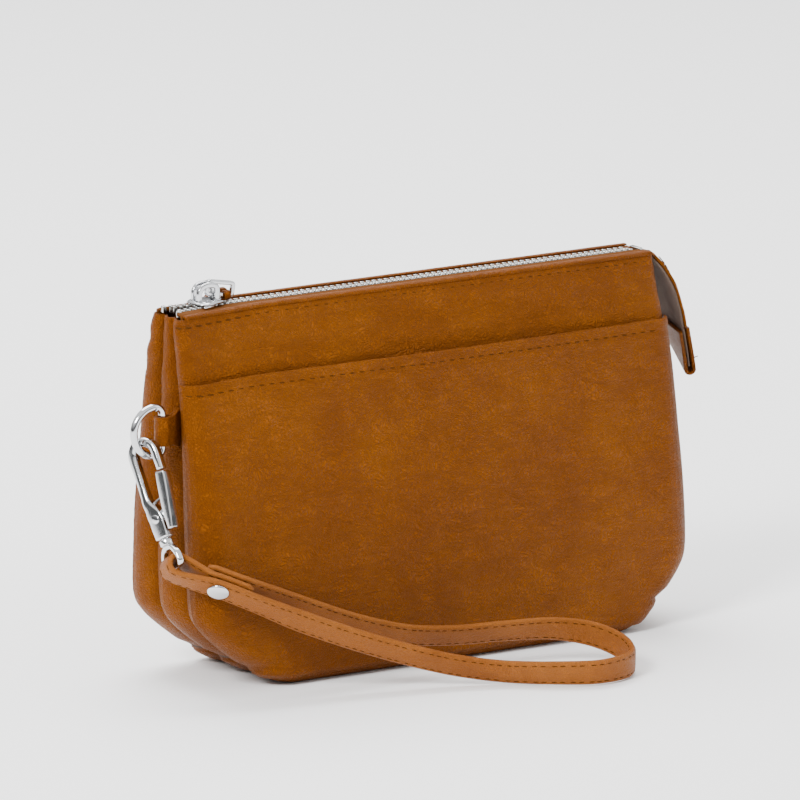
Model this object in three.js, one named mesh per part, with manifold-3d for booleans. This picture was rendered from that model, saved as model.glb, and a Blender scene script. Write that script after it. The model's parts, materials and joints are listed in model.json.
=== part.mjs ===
// A soft leather wristlet wallet: three pouches side by side, gathered under one metal zip, with a slip
// pocket on the front, a leather zip tail, and a wrist strap that hangs from a D-ring by a swivel clasp.
// Millimetres, +X to the right along the zip, +Y to the back, +Z up, origin on the floor under the middle.
import * as THREE from 'three';
import { mergeVertices } from 'three/addons/utils/BufferGeometryUtils.js';
import Module from 'manifold-3d';

const wasm = await Module();
wasm.setup();

// ---- Driving dimensions -------------------------------------------------------------------------------
// Wallet body
const bagWidth = 199; // widest, a little above the floor
const bagHeight = 127;
const leather = 1.2; // panel thickness
const gap = 0.3; // between pieces that touch
const lobePitch = 17.5; // from one pouch's middle to the next at the floor
const mouthPitch = 6.0; // the same under the zip, where the pouches are gathered
const gatherPower = 2.2; // how late the pouches draw together on the way up
const leftTopInset = 1.2; // how far the top of each side stands in from the widest line
const rightTopInset = 5.0;
const bottomRound = 5.0; // radius under each pouch
const leftCorner = 31; // bottom corners, drawn in by darts
const rightCorner = 22;
const cornerHeight = 24;
const cornerPower = 1.15;
const seamShare = 0.45; // side seams lie this far behind each pouch's middle, as a share of half its depth
const innerPanelDrop = 10; // the panels under the zip end this far below the rim
const endPost = 1.9; // what is left of them at the left end of the zip
const liningThickness = 0.5;
const pocketDrop = 22; // top edge of the slip pocket below the rim
const pocketLift = 2.4; // how far its top edge stands off at the middle of the front

// Zip
const teethPitch = 2.4;
const toothLength = 0.85;
const toothReach = 0.7; // how far a tooth passes the middle line
const chainHalfWidth = 3.0;
const chainSpine = 0.8;
const chainThickness = 2.4;
const chainRise = 1.0; // top of the teeth above the leather rim
const tapeThickness = 0.6;
const rowParting = 2.6; // how far each row stands off where the zip is open
const sliderInset = 24.5; // from the wallet's left end to the slider's right end, where the rows are joined
const sliderLength = 12;
const sliderWidth = 11.4;
const sliderPlate = 1.1;
const stopLength = 1.6;
const zipRightInset = 6.3;
const pullPinHeight = 3.8; // above the slider's top plate
const pullPinRadius = 0.7;
const pullLinkLength = 11.4;
const pullLinkHeight = 5.6;
const pullLinkThickness = 1.5;
const pullLinkTilt = 10; // degrees, its free end lower
const pullTabWidth = 5;
const pullTabThickness = 1.2;
const pullTabLength = 30;

// Zip tail
const tailGap = 1.6;
const tailWidth = 18;
const tailRootWidth = 13.5;
const tailCoverThickness = 1.6;
const tailTapeThickness = 1.0;
const tailTwist = 28; // degrees, turned towards the back at the tip

// Ring and its tab
const ringHeight = 19.2;
const ringWidth = 13.8;
const ringWire = 2.6;
const ringBarOut = 4.7; // the ring's bar stands this far beyond the wallet's end
const ringForward = 2.2; // the ring stands this far in front of the groove that holds its tab
const ringDrop = 38.1; // below the rim
const hangPast = 3.8; // from the ring's lowest point to where the clasp hangs
const tabHeight = 13.5;
const tabTaper = 0.62; // height at the ring over the height at the bag

// Clasp and swivel
const claspThickness = 4.2;
const pinRadius = 0.8;
const pinPlay = 0.25; // the gate's hole round the pin
const gateTongue = 1.2;
const hookRoom = 0.6; // for the ring's wire to turn in the hook
const hookBand = 2.9;
const eyeRoom = 0.9; // on each side of the strap in the eye
const eyeWire = 2.4;

// Wrist strap
const strapWidth = 8.6;
const strapThickness = 2.2;
const rivetCapRadius = 3.7;
const rivetPostRadius = 1.2;
const floorRoom = 0.6; // under the strap's lower edge where it lies

// ---- Places that follow from them -----------------------------------------------------------------------
const pocketHeight = bagHeight - pocketDrop;
const sliderBack = sliderInset - bagWidth / 2;
const zipRightEnd = bagWidth / 2 - zipRightInset;
const ringBarX = -bagWidth / 2 - ringBarOut;
const ringZ = bagHeight - ringDrop;
const pinHole = pinRadius + pinPlay;
const eyeInnerWidth = strapWidth + 2 * eyeRoom;

// ---- Small helpers ------------------------------------------------------------------------------------
const vec = (x, y, z) => new THREE.Vector3(x, y, z);
const mix = THREE.MathUtils.lerp;
const clamp = THREE.MathUtils.clamp;
const rad = THREE.MathUtils.degToRad;

function toSolid(geometry) {
  const bare = geometry.clone();
  bare.deleteAttribute('normal');
  bare.deleteAttribute('uv');
  const merged = mergeVertices(bare, 1e-5);
  const vertProperties = Float32Array.from(merged.attributes.position.array);
  const triVerts = Uint32Array.from(merged.index.array);
  return new wasm.Manifold(new wasm.Mesh({ numProp: 3, vertProperties, triVerts }));
}

function fromSolid(solid) {
  const mesh = solid.getMesh();
  const geometry = new THREE.BufferGeometry();
  geometry.setAttribute('position', new THREE.BufferAttribute(Float32Array.from(mesh.vertProperties), 3));
  geometry.setIndex([...mesh.triVerts]);
  return geometry;
}

const cut = (geometry, ...tools) =>
  fromSolid(tools.reduce((solid, tool) => solid.subtract(toSolid(tool)), toSolid(geometry)));
const join = (geometry, ...others) =>
  fromSolid(others.reduce((solid, other) => solid.add(toSolid(other)), toSolid(geometry)));
const common = (geometry, other) => fromSolid(toSolid(geometry).intersect(toSolid(other)));

// A box between two corners.
function block(low, high) {
  const box = new THREE.BoxGeometry(high[0] - low[0], high[1] - low[1], high[2] - low[2]);
  return box.translate((low[0] + high[0]) / 2, (low[1] + high[1]) / 2, (low[2] + high[2]) / 2);
}

function outline(points) {
  return new THREE.Shape(points.map(([x, y]) => new THREE.Vector2(x, y)));
}

// A flat piece: an outline in XY with its thickness centred on z = 0 and its edges eased by bevel.
function plate(shape, thickness, bevel = 0) {
  const geometry = new THREE.ExtrudeGeometry(shape, {
    depth: thickness - 2 * bevel,
    bevelEnabled: bevel > 0,
    bevelThickness: bevel,
    bevelSize: bevel,
    bevelOffset: -bevel,
    bevelSegments: 1,
    curveSegments: 8,
  });
  return geometry.translate(0, 0, bevel - thickness / 2);
}

// A round bar between two points.
function bar(from, to, radius, sides = 12) {
  const along = to.clone().sub(from);
  const geometry = new THREE.CylinderGeometry(radius, radius, along.length(), sides);
  geometry.applyQuaternion(new THREE.Quaternion().setFromUnitVectors(vec(0, 1, 0), along.normalize()));
  return geometry.translate((from.x + to.x) / 2, (from.y + to.y) / 2, (from.z + to.z) / 2);
}

function moveVertices(geometry, move) {
  const position = geometry.attributes.position;
  const point = new THREE.Vector3();
  for (let i = 0; i < position.count; i += 1) {
    move(point.fromBufferAttribute(position, i));
    position.setXYZ(i, point.x, point.y, point.z);
  }
  return geometry;
}

// A flat strip that follows a route. frameAt(s) gives its middle, its direction across and its normal.
function strip(frameAt, steps, width, thickness) {
  const frames = Array.from({ length: steps + 1 }, (_, i) => frameAt(i / steps));
  return moveVertices(new THREE.BoxGeometry(1, 1, 1, steps, 1, 1), (point) => {
    const s = Math.round((point.x + 0.5) * steps);
    const { middle, across, normal } = frames[s];
    const half = typeof width === 'function' ? width(s / steps) : width;
    const y = point.y * half;
    const z = point.z * thickness;
    point.copy(middle).addScaledVector(across, y).addScaledVector(normal, z);
  });
}

const materials = {
  leather: ['#a86219', 0.55, 0],
  strapLeather: ['#b96a2c', 0.5, 0],
  lining: ['#5a4a3f', 0.9, 0],
  tape: ['#b9b2a8', 0.85, 0],
  chrome: ['#c9ccd0', 0.15, 1],
  steel: ['#9a9da1', 0.35, 1],
};

const wallet = new THREE.Group();

function add(name, geometry, finish, parent = wallet) {
  const [color, roughness, metalness] = materials[finish];
  const mesh = new THREE.Mesh(geometry, new THREE.MeshStandardMaterial({ color, roughness, metalness }));
  mesh.name = name;
  parent.add(mesh);
  return mesh;
}

// ---- Pouch shape --------------------------------------------------------------------------------------
const pitchAt = (z) => mix(lobePitch, mouthPitch, clamp(z / bagHeight, 0, 1) ** gatherPower);
const middleOf = (pouch, z) => pouch * pitchAt(z);
const fullHalfDepth = (z) => (pitchAt(z) - gap) / 2;
const cornerShare = (z) => Math.max(0, 1 - z / cornerHeight) ** cornerPower;

// The left and right ends of the wallet at a height.
function sidesAt(z) {
  const up = clamp(z / bagHeight, 0, 1);
  const loss = cornerShare(z);
  return [-bagWidth / 2 + leftTopInset * up + leftCorner * loss, bagWidth / 2 - rightTopInset * up - rightCorner * loss];
}

// Rows of a pouch from its underside up: a quarter round, then the corner, then the plain height.
function pouchRows(inset, top) {
  const round = [0, 30, 60, 90].map((angle) => bottomRound - (bottomRound - inset) * Math.cos(rad(angle)));
  const above = [9, 13, 18, cornerHeight, 45, 70, 90, 105, 117].filter((z) => z < top - 1);
  return [...round, ...above, top];
}

// One horizontal section of a pouch whose surface is moved in by inset.
function pouchSection(pouch, z, inset) {
  const [left, right] = sidesAt(z);
  const low = clamp((bottomRound - z) / (bottomRound - inset), 0, 1);
  const undercut = (bottomRound - inset) * (1 - Math.sqrt(1 - low * low));
  const half = Math.max(fullHalfDepth(z) - inset - undercut, 0.2);
  return { left: left + inset + undercut, right: right - inset - undercut, middle: middleOf(pouch, z), half };
}

// A solid pouch with rounded ends, moved in by inset (or out, when it is negative), up to a height.
function pouchBody(pouch, inset, top) {
  const rows = pouchRows(inset, top);
  const ends = 4;
  return moveVertices(new THREE.BoxGeometry(2, 2, 2, 2, ends, rows.length - 1), (point) => {
    const z = rows[Math.round(((point.z + 1) / 2) * (rows.length - 1))];
    const { left, right, middle, half } = pouchSection(pouch, z, inset);
    const round = Math.min(half, (right - left) / 4);
    const turn = (point.y * Math.PI) / 2;
    const flat = mix(left + round, right - round, (point.x + 1) / 2);
    const x = Math.abs(point.x) > 0.99 ? flat + Math.sign(point.x) * round * Math.cos(turn) : flat;
    point.set(x, middle + half * Math.sin(turn), z);
  });
}

// Everything on one side of a pouch's side seam.
function seamSide(pouch, behind) {
  const rows = [-5, ...pouchRows(0, bagHeight), bagHeight + 20];
  return moveVertices(new THREE.BoxGeometry(2, 2, 2, 1, 1, rows.length - 1), (point) => {
    const z = rows[Math.round(((point.z + 1) / 2) * (rows.length - 1))];
    const seam = middleOf(pouch, z) + seamShare * fullHalfDepth(z);
    const near = seam + (behind ? gap / 2 : -gap / 2);
    const far = behind ? 60 : -60;
    const atSeam = behind ? point.y < 0 : point.y > 0;
    point.set(point.x * bagWidth, atSeam ? near : far, z);
  });
}

const zipLeftEnd = -bagWidth / 2 + leftTopInset + endPost;
const innerTop = bagHeight - innerPanelDrop;

// The space under the zip that the inner panels leave free.
const underZip = () =>
  block([zipLeftEnd, -20, innerTop], [bagWidth, 20, bagHeight + 10]);

function pouchPanels(pouch, name) {
  const shell = cut(pouchBody(pouch, 0, bagHeight), pouchBody(pouch, leather, bagHeight + 8));
  const outerFront = pouch < 0;
  const outerBack = pouch > 0;
  let front = common(shell, seamSide(pouch, false));
  let back = common(shell, seamSide(pouch, true));
  if (!outerFront) front = cut(front, underZip());
  else front = cut(front, frontClearance());
  if (!outerBack) back = cut(back, underZip());
  else back = cut(back, backClearance());
  add(`${name}_front_panel`, front, 'leather');
  add(`${name}_back_panel`, back, 'leather');
}

// Where the front and rear pouches' own ends would stand in the way of the zip.
const rimInside = () => 1.5 * mouthPitch - gap / 2 - leather;
const frontClearance = () => block([zipLeftEnd, -rimInside(), innerTop], [bagWidth, 20, bagHeight + 10]);
const backClearance = () => block([zipLeftEnd, -20, innerTop], [bagWidth, rimInside(), bagHeight + 10]);

function pouchLining(pouch, name) {
  const outside = leather + gap;
  const top = innerTop - 1;
  const bag = cut(pouchBody(pouch, outside, top), pouchBody(pouch, outside + liningThickness, top + 5));
  add(`${name}_lining`, bag, 'lining');
}

// ---- Slip pocket --------------------------------------------------------------------------------------
// A panel over the front pouch's front, which follows it and stands off a little towards its open top.
function slipPocket() {
  const outside = pouchBody(-1, -(gap + leather), pocketHeight);
  const inside = pouchBody(-1, -gap, pocketHeight + 5);
  const shell = cut(outside, inside);
  const front = common(shell, block([-bagWidth, -60, bottomRound / 2], [bagWidth, -lobePitch + 2, bagHeight]));
  const clear = common(front, pocketReach());
  add('slip_pocket_panel', lifted(clear), 'leather');
}

// The pocket covers the front as far round as the middle of the pouch's ends.
function pocketReach() {
  const rows = [0, 20, 45, 70, 90, pocketHeight + 1];
  return moveVertices(new THREE.BoxGeometry(2, 2, 2, 1, 1, rows.length - 1), (point) => {
    const z = rows[Math.round(((point.z + 1) / 2) * (rows.length - 1))];
    const y = point.y > 0 ? middleOf(-1, z) - 1.5 : -60;
    point.set(point.x * bagWidth, y, z);
  });
}

function lifted(geometry) {
  return moveVertices(geometry, (point) => {
    const up = clamp((point.z - 70) / (pocketHeight - 70), 0, 1);
    const across = Math.cos((Math.PI * clamp(point.x / bagWidth, -0.5, 0.5)));
    point.y -= pocketLift * up * up * across;
  });
}

// ---- Zip ----------------------------------------------------------------------------------------------
const chainTop = bagHeight + chainRise;
const chainMiddle = chainTop - chainThickness / 2;
const sliderFront = sliderBack - sliderLength;

// How far each row stands off the middle line: joined to the right of the slider, parted to its left.
function parting(x) {
  const joinedAt = sliderBack - sliderLength / 4;
  if (x >= joinedAt) return 0;
  const share = clamp((joinedAt - x) / (joinedAt - zipLeftEnd), 0, 1);
  return rowParting * Math.sin(Math.min(share * 0.85, 1) * Math.PI * 0.62);
}

const rowLeft = zipLeftEnd + gap + stopLength + gap;

// One row of teeth on its spine, on side -1 (front) or +1 (rear). The rows mesh by half a pitch.
function teethRow(side) {
  const points = [];
  const start = rowLeft + (side > 0 ? teethPitch / 2 : 0);
  const count = Math.floor((zipRightEnd - stopLength - gap - start) / teethPitch);
  const edge = [];
  for (let i = 0; i < count; i += 1) {
    const x = start + i * teethPitch;
    const shift = parting(x + toothLength / 2);
    const root = chainHalfWidth - chainSpine + shift;
    const tip = shift - toothReach;
    points.push([x, root], [x, tip], [x + toothLength, tip], [x + toothLength, root]);
    if (x < sliderBack || i === count - 1) edge.unshift([x + toothLength / 2, chainHalfWidth + shift]);
  }
  edge[0][0] = points[points.length - 1][0];
  edge[edge.length - 1][0] = points[0][0];
  const comb = plate(outline([...points, ...edge].map(([x, y]) => [x, side * y])), chainThickness);
  return comb.translate(0, 0, chainMiddle);
}

function tape(side) {
  const inner = [];
  const steps = 12;
  for (let i = 0; i <= steps; i += 1) {
    const x = mix(zipLeftEnd + gap, sliderBack, i / steps);
    inner.push([x, chainHalfWidth + gap + parting(x)]);
  }
  const outer = rimInside() - gap;
  const points = [...inner, [zipRightEnd, chainHalfWidth + gap], [zipRightEnd, outer], [zipLeftEnd + gap, outer]];
  return plate(outline(points.map(([x, y]) => [x, side * y])), tapeThickness).translate(0, 0, chainMiddle);
}

function topStop(side) {
  const x = zipLeftEnd + gap;
  const y = chainHalfWidth - 1.6 + parting(x);
  const low = Math.min(side * y, side * (y + 1.5));
  const half = chainThickness / 2;
  return block([x, low, chainMiddle - half], [x + stopLength, low + 1.5, chainMiddle + half]);
}

function bottomStop() {
  const [half, high] = [chainHalfWidth, chainThickness / 2];
  return block([zipRightEnd - stopLength, -half, chainMiddle - high - 0.2], [zipRightEnd, half, chainMiddle + high]);
}

// The slider: two plates with side flanges, joined by a post between the parted rows, and two cheeks
// on top that hold the pull's pin.
function sliderBody() {
  const half = sliderWidth / 2;
  const room = chainThickness / 2 + gap; // from the chain's middle to each plate
  const nose = half * 0.55;
  const shape = outline([
    [sliderFront, -half + 1.2], [sliderFront + 1.5, -half], [sliderFront + 6, -half], [sliderBack, -nose - 1],
    [sliderBack, nose + 1], [sliderFront + 6, half], [sliderFront + 1.5, half], [sliderFront, half - 1.2],
  ]);
  const top = plate(shape, sliderPlate).translate(0, 0, chainMiddle + room + sliderPlate / 2);
  const bottom = plate(shape, sliderPlate).translate(0, 0, chainMiddle - room - sliderPlate / 2);
  const post = block([sliderFront, -0.45, chainMiddle - room - 0.2], [sliderFront + 2.4, 0.45, chainMiddle + room + 0.2]);
  const flanges = [-1, 1].flatMap((side) => [-1, 1].map((level) => {
    const y = side > 0 ? [half - 0.9, half] : [-half, -half + 0.9];
    const near = chainMiddle + level * (tapeThickness / 2 + gap);
    const far = chainMiddle + level * (room + 0.2);
    return block([sliderFront + 1.5, y[0], Math.min(near, far)], [sliderFront + 6, y[1], Math.max(near, far)]);
  }));
  return join(top, bottom, post, ...flanges, ...cheeks());
}

const pullPin = () => vec(sliderBack - 4.6, 0, sliderTop() + pullPinHeight);
const sliderTop = () => chainMiddle + chainThickness / 2 + gap + sliderPlate;

function cheeks() {
  const pin = pullPin();
  const shape = outline([
    [sliderFront + 1.2, sliderTop() - 0.3], [sliderFront + 1.8, pin.z + 0.6], [sliderFront + 3.2, pin.z + 1.5],
    [pin.x + 0.8, pin.z + 1.5], [pin.x + 1.6, pin.z], [pin.x + 1.6, sliderTop() - 0.3],
  ]);
  const inside = pullLinkThickness / 2 + gap;
  const pair = [-1, 1].map((side) =>
    plate(shape, 1.3).rotateX(Math.PI / 2).translate(0, side * (inside + 0.65), 0));
  const bridge = block([sliderFront + 1.9, -inside - 0.2, sliderTop() - 0.2], [sliderFront + 3.6, inside + 0.2, pin.z + 1.3]);
  const pinBar = bar(vec(pin.x, -inside - 0.4, pin.z), vec(pin.x, inside + 0.4, pin.z), pullPinRadius, 10);
  return [...pair, bridge, pinBar];
}

// The square link that the pin carries, lying to the right over the chain with its free end lower.
const linkLeft = -pullPinRadius - gap - 1.2;
const linkBand = 1.4;
const onLink = (geometry) => geometry.rotateY(rad(pullLinkTilt)).translate(...pullPin().toArray());

function pullLink() {
  const right = linkLeft + pullLinkLength;
  const high = pullLinkHeight / 2;
  const frame = outline([
    [linkLeft, 1 - high], [linkLeft + 1, -high], [right, -high], [right, high], [linkLeft + 1, high], [linkLeft, high - 1],
  ]);
  const [low, top, near, far] = [linkBand - high, high - linkBand, linkLeft + 1.2, right - linkBand];
  frame.holes.push(outline([[near, low], [far, low], [far, top], [near, top]]));
  return onLink(plate(frame, pullLinkThickness, 0.2).rotateX(Math.PI / 2));
}

// A leather pull looped round the link's lower bar, over the rear rim and down the back.
const pullLoop = () => {
  const right = linkLeft + pullLinkLength - linkBand - gap;
  const left = Math.max(right - 2.6, sliderBack + 3 * gap - pullPin().x);
  return { left, right, height: (linkBand - pullLinkHeight) / 2 };
};

function pullTab() {
  const { left, right, height } = pullLoop();
  const middle = onLink(new THREE.BufferGeometry().setFromPoints([vec((left + right) / 2, 0, height)]));
  const [x, , z] = middle.attributes.position.array;
  const rim = 1.5 * mouthPitch;
  // A point that far below the rim, off the back of the rear pouch.
  const behind = (down, off) => {
    const height = bagHeight - down;
    return vec(x, middleOf(1, height) + fullHalfDepth(height) + off, height);
  };
  const route = new THREE.CatmullRomCurve3([
    vec(x, 0.2, z + 1.3), vec(x, 3.2, z + 1.5), vec(x, rim - 1.5, bagHeight + 2.2), behind(0.2, 1.4903),
    behind(pullTabLength * 0.3, 0.9744), behind(pullTabLength * 0.75, 1.3325),
  ]);
  const frameAt = (s) => {
    const across = vec(-1, 0, 0);
    return { middle: route.getPointAt(s), across, normal: route.getTangentAt(s).cross(across).normalize() };
  };
  const width = (s) => mix(right - left, pullTabWidth, clamp(s * 6 - 0.4, 0, 1));
  const tab = strip(frameAt, 18, width, pullTabThickness);
  const round = pullLinkThickness / 2 + gap + 0.75;
  const sleeve = new THREE.CylinderGeometry(round, round, right - left, 14).rotateZ(Math.PI / 2);
  sleeve.translate((left + right) / 2, 0, height);
  const [y, up] = [pullLinkThickness / 2 + 0.2, linkBand / 2 + 0.2];
  const hole = block([left - 3, -y, height - up], [right + 3, y, height + up]);
  return cut(join(onLink(sleeve), tab), onLink(hole));
}

// ---- Zip tail -----------------------------------------------------------------------------------------
const tailAt = (out, back, down) => vec(zipRightEnd + out, back, bagHeight - down);
const tailRoute = new THREE.CatmullRomCurve3([
  vec(zipRightEnd + tailGap, 0, chainMiddle - 2), tailAt(5.2, 0, 6.2), tailAt(9.5, 0.6, 13.0),
  tailAt(13.6, 1.4, 21.4), tailAt(17.8, 2.6, 31.6), tailAt(22.8, 4.0, 42.8),
]);

// The tail lies across the wallet at its root and turns a little towards its tip.
function tailFrame(s, lift) {
  const tangent = tailRoute.getTangentAt(s);
  const turn = rad(-tailTwist * s * s);
  const across = vec(-Math.sin(turn), Math.cos(turn), 0);
  across.addScaledVector(tangent, -across.dot(tangent)).normalize();
  const normal = tangent.clone().cross(across).normalize();
  return { middle: tailRoute.getPointAt(s).addScaledVector(normal, lift), across, normal };
}

const tailHalf = (s) => mix(tailRootWidth, tailWidth, clamp(s * 4, 0, 1));
const coverEnd = 0.62;

function tailCover() {
  const lift = tailTapeThickness / 2 + gap + tailCoverThickness / 2;
  return strip((s) => tailFrame(s * coverEnd, lift), 14, (s) => tailHalf(s * coverEnd), tailCoverThickness);
}

function tailTape() {
  return strip((s) => tailFrame(s * 0.93, 0), 20, (s) => tailHalf(s * 0.93), tailTapeThickness);
}

// The folded leather tab that closes the tape's end: a leaf on each side and the fold between them.
function endTab() {
  const leaf = 1.3;
  const lift = tailTapeThickness / 2 + gap + leaf / 2;
  const start = coverEnd + 0.015;
  const leaves = [lift, -lift].map((side) =>
    strip((s) => tailFrame(mix(start, 0.985, s), side), 10, tailWidth, leaf));
  const fold = strip((s) => tailFrame(mix(0.955, 1, s), 0), 3, tailWidth, 2 * lift + 0.2);
  return join(leaves[0], leaves[1], fold);
}

// ---- Ring and its tab ---------------------------------------------------------------------------------
const ringY = () => -pitchAt(ringZ) / 2 - ringForward;

// A D-ring in the plane across the wallet's end: its straight bar is held by the tab.
function ringBody() {
  const half = ringHeight / 2;
  const reach = ringWidth - ringWire / 2;
  const dShape = (offset) => {
    const shape = new THREE.Shape();
    const h = half - offset;
    const right = ringWire / 2 - offset;
    const left = -reach + offset;
    const radius = Math.min(h, right - left);
    shape.moveTo(right, -h + 1.2);
    shape.lineTo(right, h - 1.2);
    shape.lineTo(right - 1.2, h);
    shape.lineTo(left + radius, h);
    shape.absarc(left + radius, 0, radius, Math.PI / 2, (3 * Math.PI) / 2, false);
    shape.lineTo(right - 1.2, -h);
    shape.closePath();
    return shape;
  };
  const ring = dShape(0);
  ring.holes.push(dShape(ringWire));
  return plate(ring, ringWire, 0.7).rotateX(Math.PI / 2).translate(ringBarX, ringY(), ringZ);
}

// The leather tab wraps the bar and runs into the groove between the front and middle pouches.
function ringTab() {
  const wrap = ringWire / 2 + gap + leather;
  const flat = leather + 0.1;
  const root = ringBarX + 7.3;
  const shape = new THREE.Shape();
  shape.moveTo(root, -flat);
  shape.lineTo(root, flat);
  shape.lineTo(ringBarX + 3.4, flat);
  shape.absarc(ringBarX, 0, wrap, rad(48), rad(312), false);
  shape.lineTo(ringBarX + 3.4, -flat);
  shape.closePath();
  const hole = new THREE.Path();
  hole.absarc(ringBarX, 0, ringWire / 2 + gap, 0, 2 * Math.PI, true);
  shape.holes.push(hole);
  const tab = moveVertices(plate(shape, tabHeight), (point) => {
    const out = clamp((root - point.x) / (root - ringBarX - 3.4), 0, 1);
    point.z *= mix(1, tabTaper, out);
    point.y += ringForward * (1 - out);
  });
  return tab.translate(0, ringY(), ringZ);
}

// ---- Clasp --------------------------------------------------------------------------------------------
// The clasp's own frame: x across from the back arm to the gate, y up to the hook, z out of its face.
const hookTop = [2.9, 24.3]; // where the ring lies in the hook
const claspUp = vec(-0.051, 0.484, 0.873).normalize();
const claspFace = vec(-0.923, -0.357, 0.144);
claspFace.addScaledVector(claspUp, -claspFace.dot(claspUp)).normalize();
const claspAcross = claspUp.clone().cross(claspFace).normalize();

function claspPlace() {
  const radius = (ringHeight - ringWire) / 2;
  const lowest = ringBarX - (ringWidth - ringWire - radius);
  const hang = vec(lowest - hangPast, ringY(), ringZ - Math.sqrt(radius ** 2 - hangPast ** 2));
  const origin = hang.addScaledVector(claspAcross, -hookTop[0]).addScaledVector(claspUp, -hookTop[1]);
  return new THREE.Matrix4().makeBasis(claspAcross, claspUp, claspFace).setPosition(origin);
}

const pinPlace = [0, 2.5];
const baseBottom = -4.3;

function hookBody() {
  const inside = ringWire + hookRoom;
  const outside = inside + hookBand;
  const middle = hookTop[0] - 0.2;
  const shape = new THREE.Shape();
  shape.moveTo(-2.9, baseBottom);
  shape.lineTo(middle - outside + 0.1, 12);
  shape.lineTo(middle - outside, 24);
  shape.absarc(middle, 24, outside, Math.PI, 0, true);
  shape.lineTo(middle + outside, 17.3);
  shape.lineTo(middle + inside + 0.1, 18.1);
  shape.lineTo(middle + inside, 24);
  shape.absarc(middle, 24, inside, 0, Math.PI, false);
  shape.lineTo(middle - inside, 9);
  shape.lineTo(1.2, 6.2);
  shape.lineTo(2.8, 4.4);
  shape.lineTo(2.8, baseBottom);
  shape.closePath();
  const body = plate(shape, claspThickness, 0.5);
  const slot = block([-1.9, -1.9, -gateTongue / 2 - gap], [6, 8.4, gateTongue / 2 + gap]);
  const hole = bar(vec(...pinPlace, -4), vec(...pinPlace, 4), pinRadius + 0.06, 12);
  const swivelHole = bar(vec(0, baseBottom - 1, 0), vec(0, baseBottom + 1.9, 0), 1.5, 14);
  return cut(body, slot, hole, swivelHole);
}

// The gate: a tongue on the pin between the hook's cheeks, and a flat-faced finger up to the nose.
function gateBody() {
  const finger = outline([
    [3.5, -2.2], [5.6, -2.4], [6.3, 1.5], [7.0, 8], [8.5, 16.6], [6.3, 17.5], [4.8, 8], [3.9, 4.2],
  ]);
  const tongue = new THREE.Shape();
  tongue.absarc(pinPlace[0], pinPlace[1], 1.7, rad(100), rad(290), false);
  tongue.lineTo(4.6, 0.2);
  tongue.lineTo(5.6, 6.4);
  tongue.lineTo(4.9, 7.4);
  tongue.closePath();
  const piece = join(plate(finger, claspThickness, 0.3), plate(tongue, gateTongue));
  return cut(piece, bar(vec(...pinPlace, -3), vec(...pinPlace, 3), pinHole, 12));
}

function pivotPin() {
  const half = claspThickness / 2 + 0.25;
  return bar(vec(...pinPlace, -half), vec(...pinPlace, half), pinRadius, 12);
}

// The return spring: one flat leaf between the back arm and the gate's tongue.
function gateSpring() {
  const leaf = outline([[-1.5, 5.0], [-1.1, 5.0], [0.9, 8.0], [4.3, 8.9], [4.2, 9.3], [0.6, 8.4]]);
  return plate(leaf, gateTongue);
}

// The swivel: a post in the hook's base, a collar, and the D-shaped eye that the strap wraps.
const eyeBar = -14.4;
const eyeTurn = -30; // degrees about the post, at rest

function swivelBody() {
  const post = bar(vec(0, baseBottom + 1.6, 0), vec(0, baseBottom - 1.0, 0), 1.2, 12);
  const collar = bar(vec(0, baseBottom - 0.4, 0), vec(0, baseBottom - 2.6, 0), 2.3, 14);
  const half = eyeInnerWidth / 2;
  const eye = new THREE.Shape();
  const top = baseBottom - 2.2;
  const side = half + 1.5;
  eye.moveTo(-1.6, top);
  eye.quadraticCurveTo(-side, top - 0.6, -side, top - 5);
  eye.lineTo(-side, eyeBar - eyeWire / 2);
  eye.lineTo(side, eyeBar - eyeWire / 2);
  eye.lineTo(side, top - 5);
  eye.quadraticCurveTo(side, top - 0.6, 1.6, top);
  eye.closePath();
  const hole = new THREE.Path();
  hole.moveTo(-half, eyeBar + eyeWire / 2);
  hole.lineTo(-half, top - 5);
  hole.quadraticCurveTo(-half, top - 2.2, 0, top - 2.0);
  hole.quadraticCurveTo(half, top - 2.2, half, top - 5);
  hole.lineTo(half, eyeBar + eyeWire / 2);
  hole.closePath();
  eye.holes.push(hole);
  return join(plate(eye, eyeWire, 0.6), collar, post);
}

// ---- Wrist strap --------------------------------------------------------------------------------------
// The strap is one strip. It starts behind the rivet, makes the loop on the floor, comes back to the
// rivet in front, wraps the swivel's eye and ends between its own two runs.
function strapFrames() {
  const place = claspPlace();
  const turned = new THREE.Matrix4().makeRotationY(rad(eyeTurn));
  const eye = vec(0, eyeBar, 0).applyMatrix4(place);
  const across = vec(1, 0, 0).applyMatrix4(turned).transformDirection(place);
  return { eye, across };
}

const rivetPast = 11.4317; // to the right of the eye
const rivetForward = 7.75; // in front of the wallet's front
const rivetDrop = 7.1698; // below the eye
const rivetFront = strapFrames().eye.add(vec(rivetPast, 0, -rivetDrop)).setY(-1.5 * lobePitch - rivetForward);
const rivetAlong = vec(0.85, -0.36, -0.385).normalize();
const layerStep = () => strapThickness + gap + 0.1;

function leaning(degrees, tangent) {
  const across = vec(0, -Math.sin(rad(degrees)), Math.cos(rad(degrees)));
  return across.addScaledVector(tangent, -across.dot(tangent)).normalize();
}

const rivetAcross = leaning(48, rivetAlong);
const rivetNormal = rivetAlong.clone().cross(rivetAcross).normalize();
const layerAt = (layer, along) =>
  rivetFront.clone().addScaledVector(rivetNormal, -layer * layerStep()).addScaledVector(rivetAlong, along);

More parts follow.
